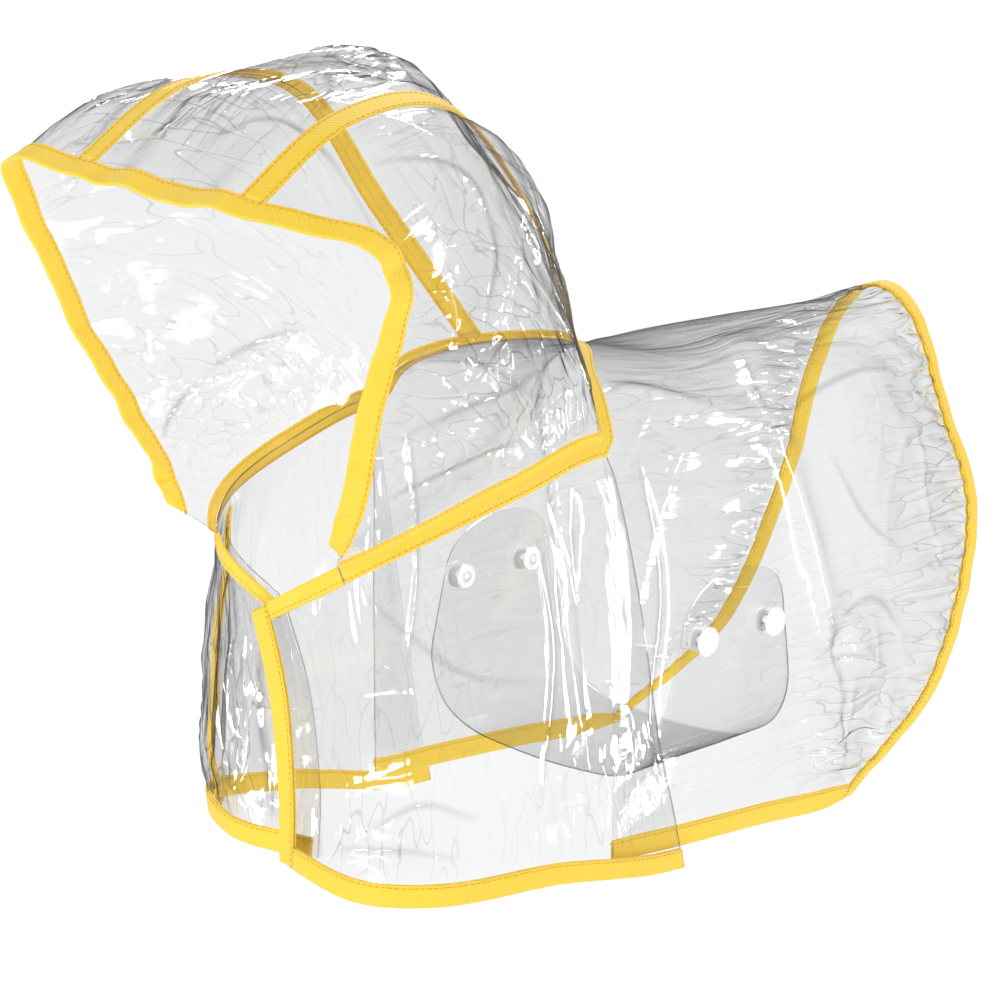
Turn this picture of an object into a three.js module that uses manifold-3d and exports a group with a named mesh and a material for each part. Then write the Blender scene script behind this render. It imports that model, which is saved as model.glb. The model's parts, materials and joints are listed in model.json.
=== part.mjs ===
// Hooded raincoat for a dog, in clear film with bound edges, kept in the hollow form that it has when worn.
// Millimetres. +Z is up, -Y is forwards, +X is the wearer's left. The origin is the middle of the neck seam
// on the back, where the coat rests on the wearer.
import * as THREE from "three";
import Module from "manifold-3d";

const wasm = await Module();
wasm.setup();

// Driving dimensions
const FILM = 1.0; // wall of clear film
const TAPE = 1.0; // one layer of binding tape
const GAP = 0.3; // clearance between sewn pieces
const HALF_FILM = FILM / 2;
const TAPE_IN = HALF_FILM + GAP; // from the film's middle to the tape's near face
const TAPE_OUT = TAPE_IN + TAPE;
const EDGE_BAND = 9.5; // how far a folded binding reaches onto its panel
const SEAM_BAND = 5.5; // half width of the tape over a hood seam
const NECK_BAND_HOOD = 5.0; // neck tape above the neck seam
const NECK_BAND_BODY = 7.5; // neck tape below the neck seam
const SEAM_SETBACK = 0.15; // each panel stops this far from a flat seam
const NECK_SETBACK = 0.8; // and this far from the neck seam, which is a corner
const SNAP_RADIUS = 7.5;
const SNAP_STEM = 2.0;

const COLOURS = { film: 0xeef1f3, tape: 0xf9d836, snap: 0xffffff };
const filmMaterial = new THREE.MeshStandardMaterial({
  color: COLOURS.film,
  roughness: 0.06,
  metalness: 0,
  transparent: true,
  opacity: 0.25,
});
const tapeMaterial = new THREE.MeshStandardMaterial({ color: COLOURS.tape, roughness: 0.75, metalness: 0 });
const snapMaterial = new THREE.MeshStandardMaterial({ color: COLOURS.snap, roughness: 0.35, metalness: 0 });

const vec = (p) => new THREE.Vector3(p[0], p[1], p[2]);
const clamp01 = (x) => Math.min(1, Math.max(0, x));
const smooth = (a, b, x) => {
  const k = clamp01((x - a) / (b - a));
  return k * k * (3 - 2 * k);
};
const steps = (a, b, n) => Array.from({ length: n + 1 }, (_, i) => a + ((b - a) * i) / n);

// A Catmull-Rom curve through points, at a coordinate counted in points from 0.
function through(points, x) {
  const n = points.length - 1;
  const i = Math.min(n - 1, Math.max(0, Math.floor(x)));
  const t = x - i;
  const p1 = points[i];
  const p2 = points[i + 1];
  const p0 = i > 0 ? points[i - 1] : p1.clone().multiplyScalar(2).sub(p2);
  const p3 = i + 2 <= n ? points[i + 2] : p2.clone().multiplyScalar(2).sub(p1);
  const mix = (a, b, c, d) =>
    0.5 * (2 * b + (c - a) * t + (2 * a - 5 * b + 4 * c - d) * t * t + (3 * b - a - 3 * c + d) * t ** 3);
  return new THREE.Vector3(
    mix(p0.x, p1.x, p2.x, p3.x),
    mix(p0.y, p1.y, p2.y, p3.y),
    mix(p0.z, p1.z, p2.z, p3.z),
  );
}

// The body is a net of sections round one half of the coat, from the chest to the tail. Section 0 is the front
// closure, section BACK_START the front edge of the back panel, and the last one the rear edge. Each section
// runs from the hem (row 0) up to the neckline (NECK_ROW) and, on the back, over the side to the spine (TOP_ROW).
const NECK_ROW = 3;
const TOP_ROW = 5;
const BACK_START = 4;
const REAR = 8;
const LEFT_SECTIONS = [
  { hem: [-11, -184, -232], low: [-12, -183, -196], mid: [-10, -189, -147], neck: [-4, -204, -101] },
  { hem: [42, -186, -236], low: [43, -180, -190], mid: [45, -180, -135], neck: [40, -196, -76] },
  { hem: [70, -158, -239], low: [71, -152, -185], mid: [71, -150, -125], neck: [64, -166, -58] },
  { hem: [82, -110, -241], low: [83, -105, -180], mid: [82, -103, -110], neck: [75, -112, -42] },
  {
    hem: [86, -54, -241], low: [86, -54, -178], mid: [85, -54, -105],
    neck: [77, -55, -31], side: [48, -36, -6], top: [0, 0, 0],
  },
  {
    hem: [88, -2, -245], low: [88, -2, -182], mid: [87, 2, -112],
    neck: [79, 12, -44], side: [48, 40, -16], top: [0, 68, -13],
  },
  {
    hem: [88, 58, -250], low: [89, 60, -185], mid: [88, 64, -112],
    neck: [79, 78, -44], side: [46, 108, -15], top: [0, 132, -11],
  },
  {
    hem: [88, 105, -255], low: [88, 125, -190], mid: [84, 148, -118],
    neck: [70, 165, -48], side: [38, 190, -16], top: [0, 200, -7],
  },
  {
    hem: [86, 134, -255], low: [78, 223, -211], mid: [67, 267, -128],
    neck: [46, 263, -64], side: [26, 264, -18], top: [0, 266, -2],
  },
];
// The right chest, measured towards the right: it lies under the left closure and hangs a little fuller.
const RIGHT_CHEST = [
  { hem: [2, -173, -231], low: [2, -171, -196], mid: [2, -177, -147], neck: [2, -192, -99] },
  { hem: [42, -188, -226], low: [44, -189, -190], mid: [45, -188, -135], neck: [38, -195, -76] },
  { hem: [80, -170, -222], low: [84, -170, -183], mid: [80, -168, -125], neck: [64, -166, -58] },
  { hem: [88, -114, -232], low: [89, -112, -180], mid: [86, -108, -110], neck: [75, -112, -42] },
];
const HEM_DROP = 0.16; // how far, in rows, the front hem hangs below the back hem at the overlap
const OVERLAP = 0.9; // how far, in sections, the front panels reach over the back panel at the hem
const LAP = 2.2; // how far a front panel stands off the back panel, middle to middle
const LAP_HEM = 4.4; // the same at the hem, where two bindings lie between

// The hood is a net of sections from its left lower corner, over the crown, to its right lower corner.
// seam is the place on the neck seam: sections 0 to 4, then rows past the neck row, and mirrored past CENTRE.
const CENTRE = 6;
const HOOD_START = 1.15;
const SEAM_LEFT = 5.25;
const SEAM_RIGHT = 2 * CENTRE - SEAM_LEFT;
const HOOD_SECTIONS = [
  { seam: 1.15, face: [55, -208, -58], brow: [55, -202, -63], crown: [51, -199, -66], back: [47, -196, -69] },
  { seam: 2.0, face: [63, -205, -30], brow: [74, -194, -34], crown: [73, -184, -42], back: [69, -175, -50] },
  { seam: 2.8, face: [72, -204, 8], brow: [86, -180, 2], crown: [86, -155, -12], back: [79, -134, -28] },
  { seam: 3.4, face: [83, -201, 38], brow: [94, -170, 35], crown: [91, -135, 18], back: [82, -105, -12] },
  { seam: 4.0, face: [89, -202, 67], brow: [94, -168, 76], crown: [89, -122, 66], back: [80, -78, 20] },
  { seam: 4.6, face: [80, -216, 82], brow: [82, -170, 108], crown: [74, -116, 105], back: [68, -78, 52] },
  { seam: 5.25, face: [47, -251, 94], brow: [50, -193, 130], crown: [50, -128, 130], back: [54, -76, 72] },
  { seam: 6.0, face: [0, -258, 98], brow: [0, -198, 140], crown: [0, -126, 150], back: [0, -54, 80] },
  { seam: 6.75, face: [-50, -264, 104], brow: [-50, -200, 139], crown: [-47, -134, 132], back: [-52, -78, 70] },
  { seam: 7.4, face: [-102, -264, 104], brow: [-86, -210, 131], crown: [-74, -133, 112], back: [-67, -80, 48] },
  { seam: 8.0, face: [-105, -250, 72], brow: [-100, -200, 80], crown: [-90, -135, 62], back: [-79, -82, 12] },
  { seam: 8.6, face: [-99, -236, 35], brow: [-95, -190, 32], crown: [-91, -138, 18], back: [-82, -105, -12] },
  { seam: 9.2, face: [-90, -221, -2], brow: [-88, -187, -4], crown: [-86, -157, -14], back: [-79, -134, -28] },
  { seam: 10.0, face: [-76, -209, -34], brow: [-75, -195, -37], crown: [-73, -184, -43], back: [-69, -175, -50] },
  { seam: 10.85, face: [-62, -206, -60], brow: [-56, -202, -63], crown: [-52, -199, -66], back: [-48, -196, -69] },
];

// Largest folds, each a ridge or trough along a line of points on the body, with its height and width.
const BODY_FOLDS = [
  { height: 2.2, width: 9, line: [[60, -38, -4], [65, -15, -6], [72, 22, -23], [78, 70, -49]] },
  { height: 2.6, width: 10, line: [[20, 112, -4], [60, 85, -20], [78, 73, -46], [84, 88, -94], [87, 112, -152]] },
  { height: -1.8, width: 9, line: [[87, 112, -152], [88, 128, -211], [86, 131, -250]] },
  { height: -2.0, width: 10, line: [[-60, -186, -100], [-66, -184, -150], [-60, -186, -205]] },
  { height: 1.6, width: 8, line: [[-36, -192, -105], [-40, -192, -160], [-34, -192, -210]] },
  { height: -1.6, width: 9, line: [[76, -70, -60], [84, -80, -110], [84, -70, -170]] },
];
const HOOD_FOLDS = [
  { height: -2.4, width: 9, line: [[90, -185, -10], [88, -140, -8], [80, -90, -20]] },
  { height: 2.2, width: 9, line: [[96, -175, 40], [88, -120, 36], [78, -75, 4]] },
  { height: -2.2, width: 10, line: [[86, -160, 92], [76, -110, 66], [70, -70, 20]] },
  { height: 2.0, width: 8, line: [[0, -215, 132], [20, -150, 150], [10, -90, 118]] },
  { height: -1.8, width: 9, line: [[-10, -130, 150], [-8, -70, 90], [-4, -30, 36]] },
  { height: -2.4, width: 9, line: [[-92, -185, -10], [-88, -140, -8], [-80, -90, -20]] },
];
const PUCKERS = 50; // puckers round the elastic rear edge
const PUCKER_HEIGHT = 1.7;
const PUCKER_ROWS = [13, 20, 29, 40]; // their rows, measured in from the edge
const PUCKER_FADE = [0.85, 1, 0.6, 0.2];

function sectionNet(sections) {
  const net = sections.map((s) => {
    const column = [s.hem, s.low, s.mid, s.neck].map(vec);
    if (s.top) column.push(vec(s.side), vec(s.top), vec([-s.side[0], s.side[1], s.side[2]]));
    return column;
  });
  const beyond = (a, b) => a.clone().multiplyScalar(2).sub(b);
  net.forEach((column, c) => {
    if (column.length > NECK_ROW + 1) return;
    const back = net[BACK_START];
    const next = net[BACK_START + 1];
    if (c === BACK_START - 1) {
      column.push(beyond(back[4], next[4]), beyond(back[5], next[5]), beyond(back[6], next[6]));
    } else {
      column.push(beyond(column[3], column[2]));
      column.push(beyond(column[4], column[3]));
      column.push(beyond(column[5], column[4]));
    }
  });
  return net;
}
const NETS = {
  left: sectionNet(LEFT_SECTIONS),
  right: sectionNet([...RIGHT_CHEST, ...LEFT_SECTIONS.slice(BACK_START)]),
};
const mirrored = (p) => new THREE.Vector3(-p.x, p.y, p.z);
function bodyPoint(side, c, r) {
  const p = through(NETS[side].map((column) => through(column, r)), c);
  return side === "right" ? mirrored(p) : p;
}
function bodyNormal(side, c, r) {
  const e = 0.02;
  const dc = bodyPoint(side, c + e, r).sub(bodyPoint(side, c - e, r));
  const dr = bodyPoint(side, c, r + e).sub(bodyPoint(side, c, r - e));
  return dc.cross(dr).multiplyScalar(side === "right" ? -1 : 1).normalize();
}
const moved = (p, n, d) => p.clone().addScaledVector(n, d);

function distanceToLine(p, line) {
  let best = Infinity;
  line.slice(1).forEach((end, i) => {
    const a = vec(line[i]);
    const ab = vec(end).sub(a);
    const t = clamp01(p.clone().sub(a).dot(ab) / ab.lengthSq());
    best = Math.min(best, a.addScaledVector(ab, t).distanceTo(p));
  });
  return best;
}
const foldHeight = (p, folds) =>
  folds.reduce((sum, f) => sum + f.height * Math.exp(-((distanceToLine(p, f.line) / f.width) ** 2)), 0);

// Places along an edge: the row or section at a given distance in from it.
const inFrom = (at, edge, sign, distance) =>
  edge + (sign * distance * 0.05) / at(edge + sign * 0.05).distanceTo(at(edge));

// A panel is a list of rows of points. Its normals come from its own facets.
function withNormals(rows, flip = 1) {
  const even = rows.every((row) => row.length === rows[0].length);
  if (!even) throw new Error("rows differ");
  return rows.map((row, i) =>
    row.map((p, j) => {
      const up = rows[Math.min(i + 1, rows.length - 1)][j].clone().sub(rows[Math.max(i - 1, 0)][j]);
      const along = row[Math.min(j + 1, row.length - 1)].clone().sub(row[Math.max(j - 1, 0)]);
      return { p, n: along.cross(up).multiplyScalar(flip).normalize() };
    }),
  );
}

// A closed solid of the film's thickness about rows of points. Rows with their own keys may differ in count.
function sheetSolid(rows, half = HALF_FILM) {
  const faces = [];
  const keyOf = (row, j) => (row[j].key === undefined ? j : row[j].key);
  let count = 0;
  rows.forEach((row, i) => {
    const here = count;
    const above = count + row.length;
    const next = rows[i + 1];
    count = above;
    if (!next) return;
    let j = 0;
    let k = 0;
    while (j < row.length - 1 || k < next.length - 1) {
      const lowMiddle = j < row.length - 1 ? keyOf(row, j) + keyOf(row, j + 1) : Infinity;
      const highMiddle = k < next.length - 1 ? keyOf(next, k) + keyOf(next, k + 1) : Infinity;
      if (lowMiddle <= highMiddle) {
        faces.push([here + j, here + j + 1, above + k]);
        j += 1;
      } else {
        faces.push([here + j, above + k + 1, above + k]);
        k += 1;
      }
    }
  });
  const points = [...rows.flat().map((v) => moved(v.p, v.n, half)), ...rows.flat().map((v) => moved(v.p, v.n, -half))];
  const edges = new Set(faces.flatMap(([x, y, z]) => [`${x} ${y}`, `${y} ${z}`, `${z} ${x}`]));
  const walls = [];
  edges.forEach((edge) => {
    const [x, y] = edge.split(" ").map(Number);
    if (!edges.has(`${y} ${x}`)) walls.push([y, x, x + count], [y, x + count, y + count]);
  });
  const under = faces.map(([x, y, z]) => [z + count, y + count, x + count]);
  return solid(points, [...faces, ...under, ...walls]);
}

// A closed tube through rings of points, with its two ends closed by the given quads. The sides listed in turned
// are split along their other diagonal, so that each facet lies parallel to the panel's facet beneath it.
function tubeSolid(rings, ends, turned) {
  const n = rings[0].length;
  const faces = [];
  const quad = (a, b, c, d) => faces.push([a, b, c], [a, c, d]);
  for (let i = 0; i + 1 < rings.length; i++) {
    for (let j = 0; j < n; j++) {
      const k = (j + 1) % n;
      const side = [i * n + j, i * n + k, (i + 1) * n + k, (i + 1) * n + j];
      if (turned.includes(j)) side.push(side.shift());
      quad(...side);
    }
  }
  const last = (rings.length - 1) * n;
  ends.forEach(([a, b, c, d]) => {
    quad(d, c, b, a);
    quad(last + a, last + b, last + c, last + d);
  });
  return solid(rings.flat(), faces);
}

function solid(points, faces) {
  const volume = faces.reduce((v, [a, b, c]) => v + points[a].dot(points[b].clone().cross(points[c])), 0);
  const geometry = new THREE.BufferGeometry();
  geometry.setAttribute("position", new THREE.Float32BufferAttribute(points.flatMap((p) => p.toArray()), 3));
  geometry.setIndex(faces.flatMap(([a, b, c]) => (volume > 0 ? [a, b, c] : [a, c, b])));
  return geometry;
}

// A folded binding over an edge. Each station holds the edge and the point a band's width in from it.
function bindingRing({ edge, inner }) {
  const out = edge.p.clone().sub(inner.p).normalize();
  return [
    moved(inner.p, inner.n, TAPE_OUT),
    moved(inner.p, inner.n, TAPE_IN),
    moved(moved(edge.p, edge.n, TAPE_IN), out, GAP),
    moved(moved(edge.p, edge.n, -TAPE_IN), out, GAP),
    moved(inner.p, inner.n, -TAPE_IN),
    moved(inner.p, inner.n, -TAPE_OUT),
    moved(moved(edge.p, edge.n, -TAPE_OUT), out, GAP + TAPE),
    moved(moved(edge.p, edge.n, TAPE_OUT), out, GAP + TAPE),
  ];
}
const BINDING_ENDS = [[0, 1, 2, 7], [7, 2, 3, 6], [6, 3, 4, 5]];
const INNER_FIRST = [3, 7]; // the panel's diagonals run from a station's inner point to the next one's edge
const EDGE_FIRST = [1, 5];
const bindingSolid = (list, turned) => tubeSolid(list.map(bindingRing), BINDING_ENDS, turned);

// A flat tape over a seam. Each station holds a point on either side and the corner of the seam between them.
function tapeRing({ near, corner, far }) {
  const bend = 1 + near.n.dot(far.n);
  const lean = near.n.clone().add(far.n).divideScalar(bend);
  return [
    moved(near.p, near.n, TAPE_OUT),
    moved(corner, lean, TAPE_OUT),
    moved(far.p, far.n, TAPE_OUT),
    moved(far.p, far.n, TAPE_IN),
    moved(corner, lean, TAPE_IN),
    moved(near.p, near.n, TAPE_IN),
  ];
}
const TAPE_ENDS = [[0, 1, 4, 5], [1, 2, 3, 4]];
const tapeSolid = (list, turned) => tubeSolid(list.map(tapeRing), TAPE_ENDS, turned);

// A place part way between the points of a row, found by its key.
function between(row, keys, key) {
  const i = Math.min(row.length - 2, Math.max(0, keys.findIndex((k) => k > key) - 1));
  const j = keys[keys.length - 1] <= key ? row.length - 2 : i;
  const t = (key - keys[j]) / (keys[j + 1] - keys[j]);
  return { p: row[j].p.clone().lerp(row[j + 1].p, t), n: row[j].n.clone().lerp(row[j + 1].n, t).normalize() };
}
const union = (...lists) => [...new Set(lists.flat().map((x) => Math.round(x * 1e5) / 1e5))].sort((a, b) => a - b);
const column = (rows, j) => rows.map((row) => row[j]);

// Stations along two lines of a panel, from one count of points to another; a cut part way is allowed.
function stations(edge, inner, from, to) {
  const keys = edge.map((_, i) => i);
  const places = union([from, to], keys.filter((k) => k > from && k < to));
  return places.map((k) => ({ edge: between(edge, keys, k), inner: between(inner, keys, k) }));
}
// How far along a line, counted in points, a distance in millimetres reaches from point i.
const reach = (line, i, distance) => i + distance / line[i].p.distanceTo(line[i + 1].p);

// Front panels
const NECK_COLUMNS = steps(HOOD_START, BACK_START - 0.01, 13);
const FRONT_COLUMNS = [0, 0.24, 0.55, 0.85, ...NECK_COLUMNS];
const FRONT_ROWS = 9;

function frontPanelPoint(side, a, c, r) {
  const base = bodyPoint(side, c, r);
  const n = bodyNormal(side, c, r);
  const lap = smooth(3.3, 3.95, c) * (r > 2.85 ? 0 : LAP + (LAP_HEM - LAP) * (1 - smooth(0.25, 1.0, r)));
  return moved(base, n, lap + foldHeight(base, BODY_FOLDS) * smooth(0, 0.4, r) * smooth(0, 0.6, 3 - r));
}
function frontPanel(side) {
  const at = (c, r) => bodyPoint(side, c, r);
  const rowOf = (i, c) => {
    const hem = -HEM_DROP * smooth(2.9, 4.6, c);
    const neck = inFrom((r) => at(c, r), NECK_ROW, -1, NECK_SETBACK);
    const neckBand = inFrom((r) => at(c, r), NECK_ROW, -1, NECK_BAND_BODY);
    const hemBand = inFrom((r) => at(c, r), hem, 1, EDGE_BAND);
    if (i === 0) return hem;
    if (i === 1) return hemBand;
    if (i === FRONT_ROWS + 3) return neck;
    if (i === FRONT_ROWS + 2) return neckBand;
    if (i === FRONT_ROWS + 1) return neckBand - 0.1;
    return hemBand + ((neckBand - 0.1 - hemBand) * (i - 1)) / FRONT_ROWS;
  };
  const rows = steps(0, FRONT_ROWS + 3, FRONT_ROWS + 3).map((i) =>
    FRONT_COLUMNS.map((a) => {
      const rough = rowOf(i, a);
      const reachOver = OVERLAP * (1 - Math.min(rough, NECK_ROW) / NECK_ROW);
      const over = i > FRONT_ROWS ? 0 : reachOver;
      const c = a <= 0.24 ? a : a * (1 + over / (BACK_START - 0.01));
      return frontPanelPoint(side, a, c, rowOf(i, c));
    }),
  );
  return rows;
}
const flipOf = (side) => (side === "left" ? 1 : -1);

// The right front edge is folded back under itself.
const FOLD_RADIUS = 2.4;
function foldedUnder(rows) {
  return rows.map((row) => {
    const first = row[0];
    const forward = first.p.clone().sub(row[1].p).normalize();
    const centre = moved(first.p, first.n, -FOLD_RADIUS);
    const bend = [180, 135, 90, 45].map((degrees) => {
      const angle = THREE.MathUtils.degToRad(degrees);
      const n = first.n.clone().multiplyScalar(Math.cos(angle)).addScaledVector(forward, Math.sin(angle));
      return { p: moved(centre, n, FOLD_RADIUS), n };
    });
    const under = (t) => {
      const place = between(row, row.map((_, i) => i), t);
      return { p: moved(place.p, place.n, -2 * FOLD_RADIUS), n: place.n.clone().negate() };
    };
    return [under(1.65), under(0.75), ...bend, ...row];
  });
}

// Back panel: rows run from the front edge to the rear edge, columns from the left hem over the spine
const BACK_COLUMNS = [0, 0.15, ...steps(0.15, 2.75, 9).slice(1), 2.87, ...steps(3, TOP_ROW, 8)];
const BACK_ROWS = 10;
const SPINE_NEAR = 0.01; // how near to the top row a point counts as on the spine
const fullColumns = [...BACK_COLUMNS, ...BACK_COLUMNS.slice(0, -1).reverse().map((r) => 2 * TOP_ROW - r)];
function backPoint(c, q) {
  const side = q <= TOP_ROW ? "left" : "right";
  return bodyPoint(side, c, q <= TOP_ROW ? q : 2 * TOP_ROW - q);
}
function backNormal(c, q) {
  const side = q <= TOP_ROW ? "left" : "right";
  return bodyNormal(side, c, q <= TOP_ROW ? q : 2 * TOP_ROW - q);
}
const rearRow = (q, distance) => inFrom((c) => backPoint(c, q), REAR, -1, distance);
function backPlace(c, q, lift = 0) {
  const base = backPoint(c, q);
  const r = Math.min(q, 2 * TOP_ROW - q);
  const flat = smooth(4, 4.4, c) * smooth(0, 0.5, r) * smooth(8, 7.6, c);
  return moved(base, backNormal(c, q), lift + foldHeight(base, BODY_FOLDS) * flat);
}
function backPanel() {
  const frontSetback = (q) => {
    const r = Math.min(q, 2 * TOP_ROW - q);
    return r >= NECK_ROW ? inFrom((c) => backPoint(c, q), BACK_START, 1, NECK_SETBACK) : BACK_START;
  };
  const frontBand = (q) => inFrom((c) => backPoint(c, q), BACK_START, 1, NECK_BAND_BODY);
  const inside = PUCKER_ROWS[PUCKER_ROWS.length - 1] + 10;
  const rows = [fullColumns.map((q) => backPlace(frontSetback(q), q)), fullColumns.map((q) => backPlace(frontBand(q), q))];
  for (let i = 1; i <= BACK_ROWS; i++) {
    rows.push(fullColumns.map((q) => backPlace(frontBand(q) + ((rearRow(q, inside) - frontBand(q)) * i) / BACK_ROWS, q)));
  }
  const coarse = withNormals([
    ...rows,
    fullColumns.map((q) => backPlace(rearRow(q, EDGE_BAND), q)),
    fullColumns.map((q) => backPlace(REAR, q)),
  ], -1);
  return coarse.map((row) => row.map((v, j) => ({ ...v, key: fullColumns[j] })));
}
// Rows of puckers that the elastic draws up just inside the rear binding
function puckerRows() {
  const samples = steps(0, 2 * TOP_ROW, 400);
  const lengths = [0];
  samples.slice(1).forEach((q, i) => {
    lengths.push(lengths[i] + backPoint(7.8, q).distanceTo(backPoint(7.8, samples[i])));
  });
  const total = lengths[lengths.length - 1];
  const keys = steps(0, total, PUCKERS * 4).map((length) => {
    const i = Math.max(1, lengths.findIndex((l) => l >= length - 1e-6));
    const t = (length - lengths[i - 1]) / (lengths[i] - lengths[i - 1]);
    return samples[i - 1] + (samples[i] - samples[i - 1]) * t;
  });
  return PUCKER_ROWS.map((distance, i) =>
    keys.map((q, k) => {
      const uneven = 0.8 + 0.2 * Math.sin(k * 0.57);
      const ends = smooth(3, 11, k) * smooth(3, 11, PUCKERS * 4 - k);
      const lift = PUCKER_HEIGHT * PUCKER_FADE[i] * uneven * ends * Math.cos((k * Math.PI) / 2);
      const c = rearRow(q, distance);
      return { p: backPlace(c, q, lift), n: backNormal(c, q), key: q };
    }),
  ).reverse();
}

// Hood
const HOOD_NET = HOOD_SECTIONS.map((s) => [s.face, s.brow, s.crown, s.back].map(vec));
const HOOD_SEAMS = HOOD_SECTIONS.map((s) => s.seam);
function necklinePoint(t) {
  const side = t <= CENTRE ? "left" : "right";
  const a = t <= CENTRE ? t : 2 * CENTRE - t;
  return a <= BACK_START ? bodyPoint(side, a, NECK_ROW) : bodyPoint(side, BACK_START, a - BACK_START + NECK_ROW);
}
const HOOD_ROW_END = 4;
const HOOD_COLUMNS_NET = HOOD_NET.map((points, i) => [...points, necklinePoint(HOOD_SEAMS[i])]);
function hoodPoint(t, s) {
  const i = Math.min(HOOD_SEAMS.length - 2, Math.max(0, HOOD_SEAMS.findIndex((x) => x > t) - 1));
  const j = t >= HOOD_SEAMS[HOOD_SEAMS.length - 1] ? HOOD_SEAMS.length - 2 : i;
  const u = j + (t - HOOD_SEAMS[j]) / (HOOD_SEAMS[j + 1] - HOOD_SEAMS[j]);
  const p = through(HOOD_COLUMNS_NET.map((points) => through(points, s)), u);
  const end = through(HOOD_COLUMNS_NET.map((points) => points[HOOD_ROW_END]), u);
  return p.addScaledVector(necklinePoint(t).sub(end), smooth(1.5, HOOD_ROW_END, s));
}
function hoodNormal(t, s) {
  const e = 0.02;
  const dt = hoodPoint(t + e, s).sub(hoodPoint(t - e, s));
  const ds = hoodPoint(t, s + e).sub(hoodPoint(t, s - e));
  return ds.cross(dt).normalize();
}
const HOOD_ROWS = 9;
function hoodRow(i, t) {
  const faceBand = inFrom((s) => hoodPoint(t, s), 0, 1, EDGE_BAND);
  const neckBand = inFrom((s) => hoodPoint(t, s), HOOD_ROW_END, -1, NECK_BAND_HOOD);
  const neck = inFrom((s) => hoodPoint(t, s), HOOD_ROW_END, -1, NECK_SETBACK);
  if (i === 0) return 0;
  if (i === HOOD_ROWS + 2) return neck;
  return faceBand + ((neckBand - faceBand) * (i - 1)) / HOOD_ROWS;
}
function hoodPlace(t, s) {
  const base = hoodPoint(t, s);
  const inside = smooth(0.3, 0.9, s) * smooth(HOOD_ROW_END - 0.1, HOOD_ROW_END - 0.8, s);
  return moved(base, hoodNormal(t, s), foldHeight(base, HOOD_FOLDS) * inside);
}
// Columns of one panel. Where it ends on a seam it has a column at the setback and one at the band.
function hoodPanel(columns, seams) {
  const list = [];
  columns.forEach((t) => list.push({ t, away: 0 }));
  seams.forEach(({ t, sign }) => list.push({ t, away: sign * SEAM_SETBACK }, { t, away: sign * SEAM_BAND }));
  const rows = steps(0, HOOD_ROWS + 2, HOOD_ROWS + 2).map((i) =>
    list.map(({ t, away }) => {
      const s = hoodRow(i, t);
      const place = away === 0 ? t : t + (away * 0.05) / hoodPoint(t + 0.05, s).distanceTo(hoodPoint(t, s));
      return { place, p: hoodPlace(place, hoodRow(i, place)) };
    }),
  );
  rows.forEach((row) => row.sort((a, b) => a.place - b.place));
  const panel = withNormals(rows.map((row) => row.map((v) => v.p)), -1);
  return panel.map((row, i) => row.map((v, j) => ({ ...v, key: j, place: rows[i][j].place })));
}
const sideColumns = union(NECK_COLUMNS, [3.99, 4.0, 4.25, 4.5, 4.75, 5.0]).filter((t) => t < 5.1);
const crownColumns = steps(5.5, 6.5, 5);
const hood = {
  left: hoodPanel(sideColumns, [{ t: SEAM_LEFT, sign: -1 }]),
  crown: hoodPanel(crownColumns, [{ t: SEAM_LEFT, sign: 1 }, { t: SEAM_RIGHT, sign: -1 }]),
  right: hoodPanel(sideColumns.map((t) => 2 * CENTRE - t).reverse(), [{ t: SEAM_RIGHT, sign: 1 }]),
};

const group = new THREE.Group();
group.name = "dog_raincoat";
function add(name, geometry, material) {
  geometry.computeVertexNormals();
  const mesh = new THREE.Mesh(geometry, material);
  mesh.name = name;
  group.add(mesh);
  return mesh;
}

const fronts = {};
for (const side of ["left", "right"]) {
  const flat = withNormals(frontPanel(side), flipOf(side));
  fronts[side] = { flat, rows: side === "right" ? foldedUnder(flat) : flat };
}
const back = backPanel();
const backSheet = [...back.slice(0, -2), ...puckerRows(), ...back.slice(-2)];

add("hood_left", sheetSolid(hood.left), filmMaterial);
add("hood_crown", sheetSolid(hood.crown), filmMaterial);
add("hood_right", sheetSolid(hood.right), filmMaterial);
add("front_left", sheetSolid(fronts.left.rows), filmMaterial);
add("front_right", sheetSolid(fronts.right.rows), filmMaterial);

// The back film is one sheet on the coat. It is two solids that meet at the spine, so that the collision of each can
// follow its own flank.
function backHalf(side) {
  const edgeX = side === "left" ? GAP / 2 : -GAP / 2;
  return backSheet.map((row) => {
    const spine = row.findIndex((v) => v.key > TOP_ROW - SPINE_NEAR);
    const half = side === "left" ? row.slice(0, spine + 1) : row.slice(spine);
    return half.map((v, j) => (v === row[spine] ? { ...half[j], p: v.p.clone().setX(edgeX) } : v));
  });
}
const backHalves = { left: sheetSolid(backHalf("left")), right: sheetSolid(backHalf("right")) };

// Bindings of the hood
const hoodEdge = (i) => [...hood.left[i], ...hood.crown[i], ...hood.right[i]];
const hoodLast = HOOD_ROWS + 2;
const faceStations = hoodEdge(0).map((edge, j) => ({ edge, inner: hoodEdge(1)[j] }));
const faceBinding = bindingSolid(faceStations, INNER_FIRST);
add("hood_face_binding", faceBinding, tapeMaterial);
function seamTape(a, b) {
  const last = a[0].length - 1;
  const lines = [column(a, last - 1), column(a, last), column(b, 0), column(b, 1)];
  const from = reach(lines[0], 1, GAP);
  const to = hoodLast - 1 - GAP / lines[0][hoodLast - 1].p.distanceTo(lines[0][hoodLast - 2].p);
  const keys = lines[0].map((_, i) => i);
  const places = union([from, to], keys.filter((k) => k > from && k < to));
  return tapeSolid(
    places.map((k) => {
      const [near, e1, e2, far] = lines.map((line) => between(line, keys, k));
      return { near, corner: e1.p.clone().lerp(e2.p, 0.5), far };
    }),
    [0, 1],
  );
}
add("hood_seam_tape_left", seamTape(hood.left, hood.crown), tapeMaterial);
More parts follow.
